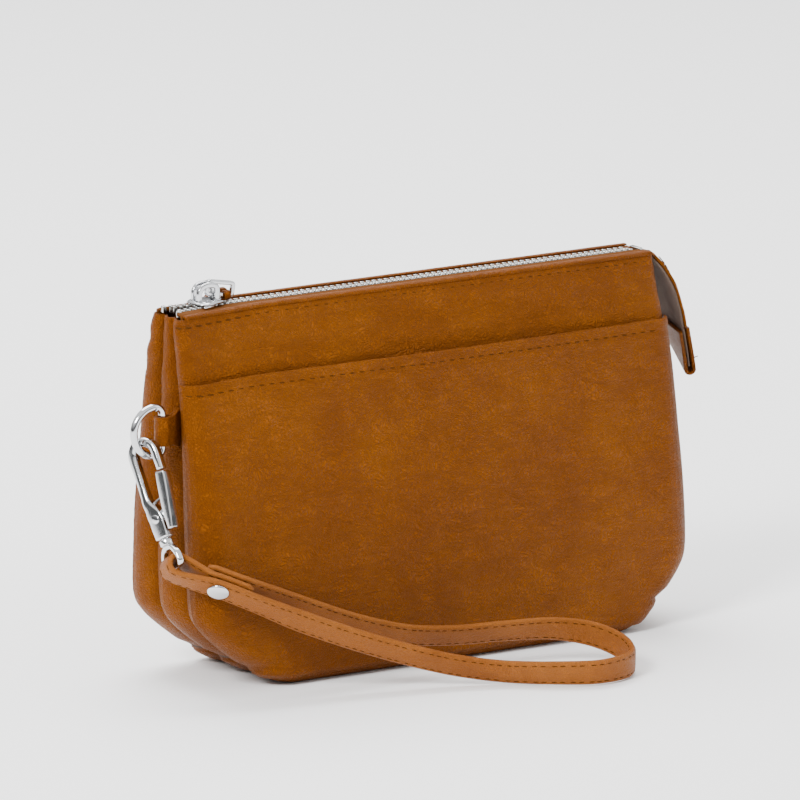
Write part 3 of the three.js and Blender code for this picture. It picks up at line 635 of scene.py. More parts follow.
@dataclass(frozen=True)
class Pouch:
    """One soft pouch: a bag with a flat underside, round ends and two drawn-in bottom corners."""

    name: str
    index: int

    WIDTH = 199.0
    HEIGHT = 127.0
    GAP = 0.3
    LOBE_PITCH = 17.5
    MOUTH_PITCH = 6.0
    GATHER = 2.2
    ROUND = 5.0
    LEFT_TOP, RIGHT_TOP = 1.2, 5.0
    LEFT_CORNER, RIGHT_CORNER, CORNER_HEIGHT = 31.0, 22.0, 24.0
    INNER_TOP = 116.6
    FLAT, END = 110, 14

    def pitch(self, z: float) -> float:
        """The distance from one pouch's middle to the next at a height."""
        return mix(self.LOBE_PITCH, self.MOUTH_PITCH, clamp(z / self.HEIGHT) ** self.GATHER)

    def middle(self, z: float) -> float:
        """The pouch's middle, front to back, at a height."""
        return self.index * self.pitch(z)

    def half(self, z: float) -> float:
        """Half the pouch's depth at a height."""
        return (self.pitch(z) - self.GAP) / 2

    def sides(self, z: float) -> tuple[float, float]:
        """The left and right ends at a height."""
        up = clamp(z / self.HEIGHT)
        low = 1 - z / self.CORNER_HEIGHT
        loss = ((low + math.sqrt(low * low + 0.03)) / 2) ** 1.15
        left = -self.WIDTH / 2 + self.LEFT_TOP * up + self.LEFT_CORNER * loss
        return left, self.WIDTH / 2 - self.RIGHT_TOP * up - self.RIGHT_CORNER * loss

    def ring(self, column: int) -> tuple[float, float, float]:
        """Where a column lies round the pouch.

        Args:
            column: counted from the left end of the front, to the right, round the end and back.

        Returns:
            The share of the way along the flat faces, -1 to 1 from front to back, and how far out along
            the round end (0 on a flat face, -1 at the left tip, +1 at the right tip).
        """
        column %= 2 * (self.FLAT + self.END)
        if column <= self.FLAT:
            return column / self.FLAT, -1.0, 0.0
        column -= self.FLAT
        if column <= self.END:
            angle = math.pi * (column / self.END - 0.5)
            return 1.0, math.sin(angle), math.cos(angle)
        column -= self.END
        if column <= self.FLAT:
            return 1 - column / self.FLAT, 1.0, 0.0
        angle = math.pi * (0.5 - (column - self.FLAT) / self.END)
        return 0.0, math.sin(angle), -math.cos(angle)

    def relief(self, x: float, z: float, depth: float, end: float) -> float:
        """How far the soft leather stands off its plain shape, outward.

        Args:
            x: place along the wallet.
            z: height.
            depth: -1 at the pouch's front to 1 at its back.
            end: how far round the end, as ring gives it.

        Returns:
            The height of the relief.
        """
        seed = Vector((x * 0.021, self.index * 7.3 + depth, z * 0.028))
        wave = 0.6 * noise.noise(seed) + 0.14 * noise.noise(seed * 2.7)
        gather = clamp((z - 92) / 24) * clamp((126 - z) / 6)
        slack = Vector((x * 0.035, self.index * 3.1, z * 0.16 + x * 0.012))
        folds = 0.75 * gather * (noise.noise(slack) + 0.6 * noise.noise(slack * 2.1))
        fuller = 0.5 * math.sin(math.pi * clamp(z / 80)) * (1 - abs(end))
        seam = 0.45
        groove = -0.75 * bell((depth - seam) * self.half(z), 0.75) * abs(end) ** 0.5
        puckers = 0.03 * math.sin(z * 1.35 + self.index) * abs(end) * bell(depth - seam, 0.5)
        dart = 0.0
        left, right = self.sides(z)
        for tip, height, width in ((left, 7.0, 20.0), (right, 11.0, 15.0)):
            dart -= 2.3 * bell(z - height - 0.1 * abs(x - tip), 1.5) * bell(x - tip, width * 0.45)
        edge = clamp((self.HEIGHT - z) / 3)
        sewn = -0.3 * bell(self.HEIGHT - 2.4 - z, 0.8) if self.index else 0.0
        return (wave + folds + fuller) * edge + groove + puckers + dart + sewn

    def top(self, share: float, depth: float, end: float) -> float:
        """The rim's height: full at the outer face and the left end, low under the zip."""
        if self.index:
            outer = clamp(-depth * -self.index * 1.6 - 0.2)
        else:
            outer = 0.0
        at_left = 1.0 if end < 0 else clamp(1 - share * self.FLAT / 1.2)
        outer = outer if end <= 0 else smooth(outer)
        drop = 1.6 * clamp(1 - share * 6)
        return mix(self.INNER_TOP, self.HEIGHT - drop, max(outer, at_left))

    def skin(self, column: int, z: float, under: float, inset: float, lift: float = 0.0) -> Vector:
        """A point of the pouch's surface.

        Args:
            column: where round the pouch.
            z: height.
            under: how far the quarter-round underside has drawn in.
            inset: how far inside the outer face.
            lift: 1 to add the leather's relief, less to soften it.

        Returns:
            The point.
        """
        share, depth, end = self.ring(column)
        left, right = self.sides(z)
        half = max(self.half(z) - inset - under, 0.0)
        left, right = left + inset + under, right - inset - under
        round_end = min(half, (right - left) / 4)
        x = mix(left + round_end, right - round_end, share) + round_end * end
        y = self.middle(z) + half * depth
        point = Vector((x, y, z))
        if lift and half > 0.5:
            out = Vector((end, depth if not end else math.copysign((1 - end * end) ** 0.5, depth), 0))
            inner = abs(self.index) != 1 or depth * self.index < 0
            hold = 0.35 if inner and not end else 1.0
            point += out * self.relief(x, z, depth, end) * lift * hold
        return point

    def wall(
        self, column: int, share: float, inset: float, lift: float = 1.0, top: float | None = None
    ) -> Vector:
        """A point of the upright wall, at a share of its height.

        Args:
            column: where round the pouch.
            share: 0 just above the underside, 1 at the rim.
            inset: how far inside the outer face.
            lift: how much relief to add.
            top: the rim's height, if not the pouch's own.

        Returns:
            The point.
        """
        ring = self.ring(column)
        rim = self.top(*ring) if top is None else top
        return self.skin(column, mix(self.ROUND, rim, share), 0.0, inset, lift)

    def profile(self, rows: int, inset: float) -> list[tuple[float, float, float]]:
        """The way up from the middle of the underside to the rim.

        Args:
            rows: how many rows the upright wall has.
            inset: how far inside the outer face.

        Returns:
            For each row its height or share, how far in it is drawn, and 1 on the upright wall.
        """
        flat = [(inset, mix(self.half(0), self.ROUND, k / 3), 0.0) for k in range(3)]
        bend = []
        for k in range(7):
            angle = math.pi / 2 * k / 7
            radius = self.ROUND - inset
            bend.append((self.ROUND - radius * math.cos(angle), radius * (1 - math.sin(angle)), 0.0))
        return flat + bend + [(k / rows, 0.0, 1.0) for k in range(rows + 1)]

    def build(self, rows: int = 76, leather: float = 1.2) -> bpy.types.Object:
        """Makes the pouch's leather as one thick bag, open at the top.

        Args:
            rows: how many rows the upright wall has.
            leather: its thickness.

        Returns:
            The bag.
        """
        outer = self.profile(rows, 0.0)
        inner = self.profile(rows // 2, leather)[::-1]
        columns = 2 * (self.FLAT + self.END)

        def place(column: int, row: int) -> Vector:
            """A point on the bag's outer or inner skin."""
            inside = row >= len(outer)
            height, under, upright = inner[row - len(outer)] if inside else outer[row]
            inset = leather if inside else 0.0
            if upright:
                ease = 0.35 * smooth((height - 0.985) / 0.015)
                return self.wall(column, height, inset + (-ease if inside else ease), 1.0)
            lift = clamp(height / self.ROUND)
            return self.skin(column, height, under, inset, lift * lift)

        bm = bmesh.new()
        grid(bm, columns, len(outer) + len(inner) - 1, place)
        return to_object(f"{self.name} leather", bm, Finish.BAG)

    def lining(self) -> bpy.types.Object:
        """Makes the cloth bag that lines the pouch."""
        outer, inner = self.profile(24, 1.5), self.profile(24, 2.0)[::-1]

        def place(column: int, row: int) -> Vector:
            """A point on the cloth bag, outside or in."""
            inside = row >= len(outer)
            height, under, upright = inner[row - len(outer)] if inside else outer[row]
            inset = 2.0 if inside else 1.55
            if upright:
                return self.wall(column, height, inset, 0.8, self.INNER_TOP - 1.2)
            return self.skin(column, height, under, inset, 0.0)

        bm = bmesh.new()
        grid(bm, 2 * (self.FLAT + self.END), len(outer) + len(inner) - 1, place)
        return to_object(f"{self.name} lining bag", bm, Finish.LINING)

    def outward(self, column: int, z: float) -> Vector:
        """The direction straight off the leather."""
        here = self.skin(column, z, 0, 0, 1.0)
        beside = self.skin(column + 1, z, 0, 0, 1.0) - here
        above = self.skin(column, z + 1, 0, 0, 1.0) - here
        return beside.cross(above).normalized()

    def rim_stitches(self, below: float) -> bpy.types.Object:
        """Makes the row of stitches under the rim of the pouch's outer face."""
        front = self.index < 0
        first = -self.END // 2 if front else self.FLAT + self.END
        last = self.FLAT if front else 2 * self.FLAT + self.END + self.END // 2

        def between(column: float, value: Callable[[int], Vector]) -> Vector:
            """Blends a value between two whole columns."""
            low = math.floor(column)
            return value(low).lerp(value(low + 1), column - low)

        def height(column: int) -> float:
            """The height of the stitches at a column."""
            return self.top(*self.ring(column)) - below

        def path(share: float) -> Vector:
            """Where the row of stitches runs."""
            return between(mix(first, last, share), lambda c: self.skin(c, height(c), 0, 0, 1.0))

        def out(share: float) -> Vector:
            """The direction off the leather there."""
            return between(mix(first, last, share), lambda c: self.outward(c, height(c)))

        return stitches(
            f"{self.name} rim stitches", seam_frames(path, out, SEAM_PITCH, 0.02), 2.7, 0.62, Finish.THREAD
        )

    def side_stitches(self, right: bool) -> bpy.types.Object:
        """Makes the stitches beside the seam down one end."""
        share = 0.74
        spot = self.FLAT + self.END * share if right else 2 * self.FLAT + self.END * (2 - share)
        column = round(spot)

        def path(t: float) -> Vector:
            """Where the row of stitches runs, from the top down."""
            return self.skin(column, mix(self.INNER_TOP - 6, 26, t), 0, 0, 1.0)

        def out(t: float) -> Vector:
            """The direction off the leather there."""
            return self.outward(column, mix(self.INNER_TOP - 6, 26, t))

        side = "right" if right else "left"
        return stitches(
            f"{self.name} {side} stitches", seam_frames(path, out, SEAM_PITCH, 0.2), 2.6, 0.5, Finish.THREAD
        )


@dataclass
class Body:
    """The three pouches with their linings, the slip pocket, and the stitches on them."""

    pouches: list[Pouch] = field(
        default_factory=lambda: [Pouch("front pouch", -1), Pouch("middle pouch", 0), Pouch("rear pouch", 1)]
    )
    pocket_height: float = 105.0
    pocket_leather: float = 1.2
    pocket_off: float = 0.35

    def pocket_point(self, column: int, share: float, off: float) -> Vector:
        """A point of the slip pocket, which follows the front pouch and stands off towards its top."""
        pouch = self.pouches[0]
        z = mix(3.0, self.pocket_height - 1.2 * clamp(1 - column / 12), share)
        groove = -0.3 * bell(z - self.pocket_height * 0.972, 0.7)
        seam = groove + 0.2 * bell(z - self.pocket_height + 1.1, 0.9)
        point = pouch.skin(column, z, 0 if z > pouch.ROUND else self.undercut(z), -off - seam, 0.85)
        across = math.cos(math.pi * clamp(point.x / pouch.WIDTH, -0.5, 0.5))
        sag = 0.5 * noise.noise(Vector((point.x * 0.03, 4.0, 0))) + 0.25 * math.sin(point.x * 0.045)
        point.y -= (2.4 + sag) * clamp((z - 70) / 35) ** 2 * across
        return point

    def undercut(self, z: float) -> float:
        """How far the quarter-round underside is drawn in at a height."""
        radius = Pouch.ROUND
        low = clamp((radius - z) / radius)
        return radius * (1 - (1 - low * low) ** 0.5)

    def pocket(self) -> bpy.types.Object:
        """Makes the slip pocket's panel, with a rounded, turned top edge."""
        pouch = self.pouches[0]
        reach = pouch.END // 2 - 1
        columns = pouch.FLAT + 2 * reach
        thick = self.pocket_leather
        rows = 64
        edge = 5

        def place(column: int, row: int) -> Vector:
            """A point on the pocket's face, its rolled edge or its back."""
            spot = column - reach
            if row <= rows:
                return self.pocket_point(spot, row / rows, self.pocket_off + thick)
            if row <= rows + edge:
                angle = math.pi * (row - rows) / edge
                top = self.pocket_point(spot, 1.0, self.pocket_off + thick / 2 * (1 + math.cos(angle)))
                return top + Vector((0, 0, 0.6 * thick * math.sin(angle)))
            return self.pocket_point(spot, 1 - (row - rows - edge) / rows, self.pocket_off)

        bm = bmesh.new()
        total = 2 * rows + edge

        def around(column: int, row: int) -> Vector:
            """The same point, with the way round the leather as columns."""
            return place(row, column % (total + 1))

        grid(bm, total + 1, columns, around, caps=True)
        return to_object("slip pocket leather", bm, Finish.BAG)

    def pocket_stitches(self) -> bpy.types.Object:
        """Makes the row of stitches along the pocket's top edge."""
        pouch = self.pouches[0]
        off = self.pocket_off + self.pocket_leather

        def path(share: float) -> Vector:
            """Where the row of stitches runs."""
            column = mix(-5.0, pouch.FLAT + 2.0, share)
            low = math.floor(column)
            a, b = (self.pocket_point(c, 0.972, off) for c in (low, low + 1))
            return a.lerp(b, column - low)

        def out(share: float) -> Vector:
            """The direction off the pocket there."""
            return pouch.outward(round(mix(-5.0, pouch.FLAT + 2.0, share)), 100)

        return stitches("pocket stitches", seam_frames(path, out, SEAM_PITCH, 0.02), 2.8, 0.62, Finish.THREAD)

    def build(self) -> None:
        """Builds everything the body shows."""
        for pouch in self.pouches:
            node = pouch.name.replace(" ", "_")
            show(pouch.build(), "bag", f"{node}_front_panel", f"{node}_back_panel")
            show(pouch.lining(), "bag", f"{node}_lining")
            show(pouch.side_stitches(False), "bag")
            show(pouch.side_stitches(True), "bag")
        show(self.pouches[0].rim_stitches(2.4), "bag")
        show(self.pouches[2].rim_stitches(2.4), "bag")
        show(self.pocket(), "bag", "slip_pocket_panel")
        show(self.pocket_stitches(), "bag")


# ---- Zip ------------------------------------------------------------------------------------------------


@dataclass
class Zip:
    """The chain, tapes, stops, slider and pull."""

    pitch: float = 2.4
    reach: float = 0.7
    half_width: float = 3.0
    thickness: float = 2.4
    parting_width: float = 2.6
    slider_low: Vector = field(default_factory=lambda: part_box("zip_slider")[0] / MM)
    slider_high: Vector = field(default_factory=lambda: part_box("zip_slider")[1] / MM)
    left: float = field(default_factory=lambda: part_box("zip_tape_front")[0].x / MM)
    right: float = field(default_factory=lambda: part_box("zip_bottom_stop")[1].x / MM)
    level: float = 126.8

    def parting(self, x: float) -> float:
        """How far each row stands off the middle line where the zip is open."""
        joined = self.slider_high.x - 3
        share = clamp((joined - x) / (joined - self.left + 0.3))
        return self.parting_width * math.sin(min(share * 0.85, 1) * math.pi * 0.62)

    def tooth(self, bm: bmesh.types.BMesh, x: float, side: int) -> None:
        """Adds one tooth: a waisted shank clamped over the tape's cord, and a rounded head."""
        shift = self.parting(x)
        for y, width, depth, height in ((0.35, 1.05, 1.5, 2.2), (1.55, 0.72, 1.3, 2.0), (2.6, 1.5, 1.0, 2.4)):
            near = shift - self.reach + y - 0.35
            made = bmesh.ops.create_cube(bm, size=1.0)["verts"]
            bmesh.ops.scale(bm, vec=Vector((width, depth, height)), verts=made)
            bmesh.ops.translate(bm, vec=Vector((x, side * (near + depth / 2), self.level)), verts=made)
            edges = list({e for v in made for e in v.link_edges})
            bmesh.ops.bevel(bm, geom=edges, offset=0.2, segments=2, profile=0.5, affect="EDGES", material=-1)

    def row(self, side: int) -> bpy.types.Object:
        """Makes one row of teeth on their cord."""
        node = "zip_teeth_front" if side < 0 else "zip_teeth_rear"
        low, high = (p.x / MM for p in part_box(node))
        bm = bmesh.new()
        count = round((high - low) / self.pitch)
        for i in range(count + 1):
            self.tooth(bm, low + 0.43 + i * self.pitch, side)
        return to_object(node.replace("_", " ") + " row", bm, Finish.ZIP_METAL)

    def tape(self, side: int) -> bpy.types.Object:
        """Makes one tape: it lies flat beside its teeth, with a corded edge, and turns down at the rim."""
        steps = 120
        frames = []
        for i in range(steps + 1):
            x = mix(self.left, self.right, i / steps)
            frames.append(Frame(Vector((x, 0, self.level)), Vector((0, side, 0)), Vector((0, 0, 1))))

        def section(i: int) -> list[tuple[float, float]]:
            """The tape's outline at a frame."""
            near = self.half_width - 0.9 + self.parting(frames[i].middle.x)
            top = [
                (near, 0.55), (near + 0.5, 0.75), (near + 1.0, 0.5), (near + 1.5, 0.3), (6.6, 0.3),
                (7.3, -0.1)
            ]
            down = [
                (7.5, -8.0), (7.1, -8.0), (6.9, -0.6), (6.2, -0.3), (near + 1.5, -0.3), (near + 1.0, -0.5)
            ]
            return top + down + [(near + 0.5, -0.75), (near, -0.55)]

        bm = bmesh.new()
        sweep(bm, frames, section)
        node = "zip_tape_front" if side < 0 else "zip_tape_rear"
        return show(to_object(node.replace("_", " ") + " cloth", bm, Finish.TAPE), "bag", node)

    def facing(self, side: int) -> None:
        """Makes the rim's leather where it is turned in over one tape, up to the slider's way.

        Args:
            side: -1 for the front, 1 for the rear.
        """
        steps = 160
        frames = []
        for i in range(steps + 1):
            share = i / steps
            droop = 1.2 * clamp(1 - share * 6)
            middle = Vector((mix(self.left + 0.6, self.right - 0.4, share), 0, 127.0 - droop))
            frames.append(Frame(middle, Vector((0, side, 0)), Vector((0, 0, 1))))
        outer = [(7.8, -0.7), (8.95, -0.7), (9.02, 0.1), (8.7, 0.62), (7.9, 0.88), (6.9, 0.92), (6.3, 0.82)]
        inner = [(6.05, 0.55), (6.2, 0.3), (7.0, 0.28), (7.6, 0.1)]

        def section(i: int) -> list[tuple[float, float]]:
            """The facing's outline at a frame, slightly uneven."""
            wave = 0.07 * noise.noise(Vector((i * 0.11, side, 0)))
            return [(y, z + wave) for y, z in outer + inner]

        bm = bmesh.new()
        sweep(bm, frames, section)
        show(to_object("zip facing front" if side < 0 else "zip facing rear", bm, Finish.BAG), "bag")

    def stop(self, node: str) -> bpy.types.Object:
        """Makes a crimped stop in the place of its CAD node."""
        low, high = (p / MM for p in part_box(node))
        bm = bmesh.new()
        made = bmesh.ops.create_cube(bm, size=1.0)["verts"]
        bmesh.ops.scale(bm, vec=high - low, verts=made)
        bmesh.ops.translate(bm, vec=(high + low) / 2, verts=made)
        bmesh.ops.bevel(
            bm, geom=list(bm.edges), offset=0.35, segments=4, profile=0.5, affect="EDGES", material=-1
        )
        return show(to_object(node.replace("_", " ") + " crimp", bm, Finish.ZIP_METAL), "bag", node)

    def slider_outline(self, share: float) -> tuple[float, float]:
        """The slider's plan, shield-shaped.

        Args:
            share: 0 to 1 round it.

        Returns:
            x and y.
        """
        angle = 2 * math.pi * share
        length = self.slider_high.x - self.slider_low.x
        middle = (self.slider_high.x + self.slider_low.x) / 2
        power = 0.62
        c, s = math.cos(angle), math.sin(angle)
        x = math.copysign(abs(c) ** power, c) * length / 2
        narrow = mix(1.0, 0.62, smooth((x / length + 0.5) * 1.25 - 0.25))
        y = math.copysign(abs(s) ** power, s) * self.slider_high.y * narrow
        return middle + x, y

    def slider(self) -> bpy.types.Object:
        """Makes the slider: a domed top plate, a bottom plate, a post, side flanges and a crown."""
        bm = bmesh.new()
        room = self.thickness / 2 + 0.3
        sides = 48
        for level, dome in ((1, 0.35), (-1, 0.1)):
            rings = [(0.0, 1.0 + dome), (0.5, 1.0 + dome), (0.8, 0.95 + dome * 0.7), (0.94, 0.75), (1.0, 0.5)]
            rings += [(1.0, 0.25), (0.95, 0.0), (0.0, 0.0)]

            def plate(column: int, row: int, level: int = level, rings: list = rings) -> Vector:
                """A point on one of the slider's two plates."""
                share, height = rings[row]
                x, y = self.slider_outline(column / sides)
                middle = (self.slider_high.x + self.slider_low.x) / 2
                return Vector((mix(middle, x, share), y * share, self.level + level * (room + height)))

            grid(bm, sides, len(rings) - 1, plate)
        start = self.slider_low.x
        rod(
            bm, Vector((start + 1.2, 0, self.level - room)), Vector((start + 1.2, 0, self.level + room)), 0.45
        )
        for side in (-1, 1):
            for level in (-1, 1):
                frames = [
                    Frame(
                        Vector(
                            (
                                mix(start + 1.4, start + 6.2, k / 6), side * (5.2 - 0.03 * k * k),
                                self.level + level
                            )
                        ),
                        Vector((0, 1, 0)), Vector((0, 0, 1)),
                    )
                    for k in range(7)
                ]
                sweep(bm, frames, lambda i: rounded_section(0.42, 0.45, 0.2, 3))
        self.crown(bm, room)
        return show(to_object("zip slider casting", bm, Finish.NICKEL), "slider", "zip_slider")

    def crown(self, bm: bmesh.types.BMesh, room: float) -> None:
        """Adds the arched crown over the slider, in two cheeks with the pin between them."""
        base = self.level + room + 1.1
        pin = self.pin()
        start = self.slider_low.x
        arch = Spline([
            Vector((start + 1.7, 0, base - 0.2)), Vector((start + 1.9, 0, base + 3.2)),
            Vector((start + 3.4, 0, pin.z + 1.0)),
            Vector((pin.x - 0.2, 0, pin.z + 1.2)), Vector((pin.x + 1.1, 0, pin.z + 0.2)),
            Vector((pin.x + 1.2, 0, base - 0.2)),
        ])
        for side in (-1, 1):
            frames = []
            for share in arch.even(28):
                tangent = arch.tangent(share)
                middle = arch(share) + Vector((0, side * 1.7, 0))
                frames.append(Frame(middle, Vector((0, 1, 0)), Vector((0, 1, 0)).cross(tangent).normalized()))
            sweep(bm, frames, lambda i: rounded_section(0.65, 0.9, 0.35, 3))
        rod(bm, pin - Vector((0, 1.7, 0)), pin + Vector((0, 1.7, 0)), 0.7)
        rod(bm, Vector((start + 2.6, -1.7, pin.z)), Vector((start + 2.6, 1.7, pin.z)), 0.6)

    def pin(self) -> Vector:
        """The middle of the pull's pin."""
        return Vector((self.slider_high.x - 4.6, 0, self.level + self.thickness / 2 + 0.3 + 1.1 + 3.8))

    def link_frame(self) -> Matrix:
        """The pull link's own axes, tilted with its free end lower."""
        return Matrix.Translation(self.pin()) @ Matrix.Rotation(math.radians(10), 4, "Y")

    def link(self) -> bpy.types.Object:
        """Makes the square link from one rounded band."""
        turn = self.link_frame()
        left, right, half = -1.6, 8.5, 2.1
        path = rounded_section((right - left) / 2, half, 0.9, 6)
        frames = []
        for k in range(len(path) + 1):
            a, b = path[k % len(path)], path[(k + 1) % len(path)]
            z = path[k - 1]
            tangent = Vector((b[0] - z[0], 0, b[1] - z[1])).normalized()
            middle = Vector((a[0] + (left + right) / 2, 0, a[1]))
            normal = tangent.cross(Vector((0, 1, 0))).normalized()
            frames.append(Frame(turn @ middle, turn.to_3x3() @ Vector((0, 1, 0)), turn.to_3x3() @ normal))
        bm = bmesh.new()
        sweep(bm, frames, lambda i: rounded_section(0.75, 0.7, 0.3, 3), closed=True)
        return show(to_object("zip pull link band", bm, Finish.NICKEL), "pull_link", "zip_pull_link")

    def pull_route(self) -> Spline:
        """The leather pull's way from the link over the rear rim."""
        spot = self.link_frame() @ Vector(((5.5 + 7.5) / 2 - 0.2, 0, -2.1))
        rim = 9.0
        x, z = spot.x, spot.z
        points = [
            (1.0, z + 1.3), (3.2, z + 1.5), (rim - 1.5, 129.2), (rim + 1.4, 126.8), (rim + 3.4, 118.0),
            (rim + 7.2, 104.5),
        ]
        return Spline([Vector((x, y, height)) for y, height in points])

    def pull(self) -> list[bpy.types.Object]:
        """Makes the leather pull: a loop round the link, and a stitched strip down the back."""
        route = self.pull_route()
        spot = self.link_frame() @ Vector((6.3, 0, -2.1))
        frames = []
        for k in range(25):
            angle = 2 * math.pi * k / 24
            middle = spot + Vector((0, 1.45 * math.cos(angle), 1.35 * math.sin(angle)))
            frames.append(Frame(middle, Vector((1, 0, 0)), Vector((0, math.cos(angle), math.sin(angle)))))
        bm = bmesh.new()
        sweep(bm, frames, lambda i: rounded_section(1.15, 0.35, 0.2, 3), closed=True)
        shares = route.even(40)
        strip = []
        for share in shares:
            tangent = route.tangent(share)
            strip.append(
                Frame(route(share), Vector((1, 0, 0)), Vector((1, 0, 0)).cross(tangent).normalized())
            )

        def section(i: int) -> list[tuple[float, float]]:
            """The strip's outline, widening from the loop and rounded at its tip."""
            tip = 1.0 - 0.5 * clamp((i - 36) / 4) ** 2
            return rounded_section(mix(1.2, 2.5, clamp(i / 10 - 0.1)) * tip, 0.6, 0.35, 4)

        sweep(bm, strip, section)
        leather = show(to_object("zip pull leather", bm, Finish.BAG), "pull_tab", "zip_pull_tab")
        rows = []
        for side in (-1, 1):
            for i in range(12, 38, 3):
                f = strip[i]
                facing = -1 if f.normal.y < 0 else 1
                along = f.across.cross(f.normal).normalized()
                rows.append(Frame(f.at(side * 1.7, facing * 0.6), along, f.normal * facing))
        return [leather, show(stitches("zip pull stitches", rows, 1.7, 0.4, Finish.THREAD), "pull_tab")]

    def build(self) -> None:
        """Builds the whole zip."""
        for side in (-1, 1):
            self.tape(side)
            self.facing(side)
            node = "zip_teeth_front" if side < 0 else "zip_teeth_rear"
            show(self.row(side), "bag", node)
        for node in ("zip_top_stop_front", "zip_top_stop_rear", "zip_bottom_stop"):
            self.stop(node)
        self.slider()
        self.link()
        self.pull()


# ---- Zip tail -------------------------------------------------------------------------------------------


@dataclass
class Tail:
    """The zip's tail: cover, tape and folded end tab."""

    start: float = 94.8
    width: float = 18.0
    root_width: float = 13.5
    twist: float = 28.0

    def route(self) -> Spline:
        """The middle line of the tape."""
        return Spline([Vector(p) for p in (
            (self.start, 0, 124.8), (98.4, 0, 120.8), (102.7, 0.6, 114.0), (106.8, 1.4, 105.6),
            (111.0, 2.6, 95.4),
            (116.0, 4.0, 84.2),
        )])

    def frames(self, low: float, high: float, count: int, lift: float) -> list[Frame]:
        """Frames along the tail.

        Args:
            low: share where they start.
            high: share where they end.
            count: how many stretches.
            lift: how far they stand off the tape's middle.

        Returns:
            count + 1 frames whose normals point away from the wallet.
        """
        route = self.route()
        shares = route.even(200)
        made = []
        for k in range(count + 1):
            share = mix(low, high, k / count)
            spot = shares[min(int(share * 200), 200)]
            tangent = route.tangent(spot)
            turn = math.radians(-self.twist * share * share)
            across = Vector((-math.sin(turn), math.cos(turn), 0))
            across = (across - tangent * across.dot(tangent)).normalized()
            normal = tangent.cross(across).normalized()
            made.append(Frame(route(spot) + normal * lift, across, normal))
        return made

    def half(self, share: float) -> float:
        """Half the tail's width at a share of its length."""
        return mix(self.root_width, self.width, clamp(share * 4)) / 2

    def strip(self, name: str, low: float, high: float, lift: float, thick: float, cup: float, finish: Finish,
              node: str) -> bpy.types.Object:
        """Makes one strip of the tail, its edges curled a little towards the wallet.

        Args:
            name: of the piece.
            low: share of the tail's length where it starts.
            high: share where it ends.
            lift: of its middle off the tape's middle.
            thick: its thickness.
            cup: how far its edges curl.
            finish: its material.
            node: the CAD node it stands for.

        Returns:
            The strip.
        """
        count = 60
        frames = self.frames(low, high, count, lift)
        around = 14

        def place(column: int, row: int) -> Vector:
            """A point round the tail at a step along it."""
            share = mix(low, high, row / count)
            half = self.half(share)
            points = []
            for k in range(around + 1):
                y = half * (2 * k / around - 1)
                points.append((y, thick / 2 * (1 - 0.55 * abs(y / half) ** 8)))
            for k in range(around, -1, -1):
                y = half * (2 * k / around - 1)
                points.append((y, -thick / 2 * (1 - 0.55 * abs(y / half) ** 8)))
            y, out = points[column % len(points)]
            wave = 0.18 * noise.noise(Vector((row * 0.12, y * 0.12, lift)))
            return frames[row].at(y, out - cup * (y / half) ** 2 + wave)

        bm = bmesh.new()
        grid(bm, 2 * around + 2, count, place, caps=True)
        return show(to_object(name, bm, finish), "tail", node)

    def end_tab(self) -> bpy.types.Object:
        """Makes the leather end tab: one leaf folded round the tape's end, edges rounded."""
        leaf, lift = 1.3, 1.45
        out = self.frames(0.635, 0.965, 22, lift)
        back = self.frames(0.965, 0.635, 22, -lift)
        tip = self.frames(0.965, 0.99, 1, 0)
        bend = []
        for k in range(1, 10):
            angle = math.pi * k / 10
            f = tip[0]
            along = (tip[1].middle - tip[0].middle).normalized()
            normal = f.normal * math.cos(angle) + along * math.sin(angle)
            bend.append(Frame(f.middle + normal * lift, f.across, normal))
        for f in back:
            f.normal = -f.normal
        route = out + bend + back
        bm = bmesh.new()
        sweep(bm, route, lambda i: rounded_section(self.width / 2, leaf / 2, 0.4, 4))
        return show(to_object("zip end tab leather", bm, Finish.BAG), "tail", "zip_end_tab")

    def seams(self) -> None:
        """Makes the stitches along the cover's edges and across the end tab."""
        rows = []
        for side in (-1, 1):
            for f in self.frames(0.06, 0.6, 14, 2.45):
                along = f.normal.cross(f.across).normalized()
                rows.append(Frame(f.at(side * 6.2, -0.35), along, f.normal))
        tab = self.frames(0.68, 0.7, 1, 2.12)[0]
        for k in range(5):
            rows.append(Frame(tab.at(mix(-7.0, 7.0, k / 4), 0.0), tab.across, tab.normal))
        show(stitches("zip tail stitches", rows, 2.3, 0.5, Finish.THREAD), "tail")

    def loose_threads(self) -> None:
        """Makes the short cut ends of thread at the tab's corners."""
        bm = bmesh.new()
        for share, side, reach in (
            (0.66, -1, Vector((-2.2, -0.6, 1.6))), (0.9, -1, Vector((2.0, -0.4, 1.4)))
        ):
            f = self.frames(share, share + 0.01, 1, 0)[0]
            start = f.at(side * (self.width / 2 - 0.4), 1.2)
            line = Spline([start, start + reach * 0.5 + Vector((0, 0, 0.5)), start + reach])
            frames = []
            for s in line.even(8):
                tangent = line.tangent(s)
                across = tangent.cross(Vector((0, 1, 0))).normalized()
                frames.append(Frame(line(s), across, tangent.cross(across)))
            sweep(bm, frames, lambda i: rounded_section(0.16, 0.16, 0.16, 2))
        show(to_object("loose thread ends", bm, Finish.THREAD), "tail")

    def build(self) -> None:
        """Builds the whole tail."""
        self.strip("zip tail cover leather", 0.0, 0.62, 1.6, 1.6, 0.7, Finish.BAG, "zip_tail_cover")
        self.strip("zip tail tape cloth", 0.0, 0.93, 0.0, 1.0, 0.2, Finish.LINING, "zip_tail_tape")
        self.end_tab()
        self.seams()
        self.loose_threads()


# ---- Ring, tab and clasp --------------------------------------------------------------------------------


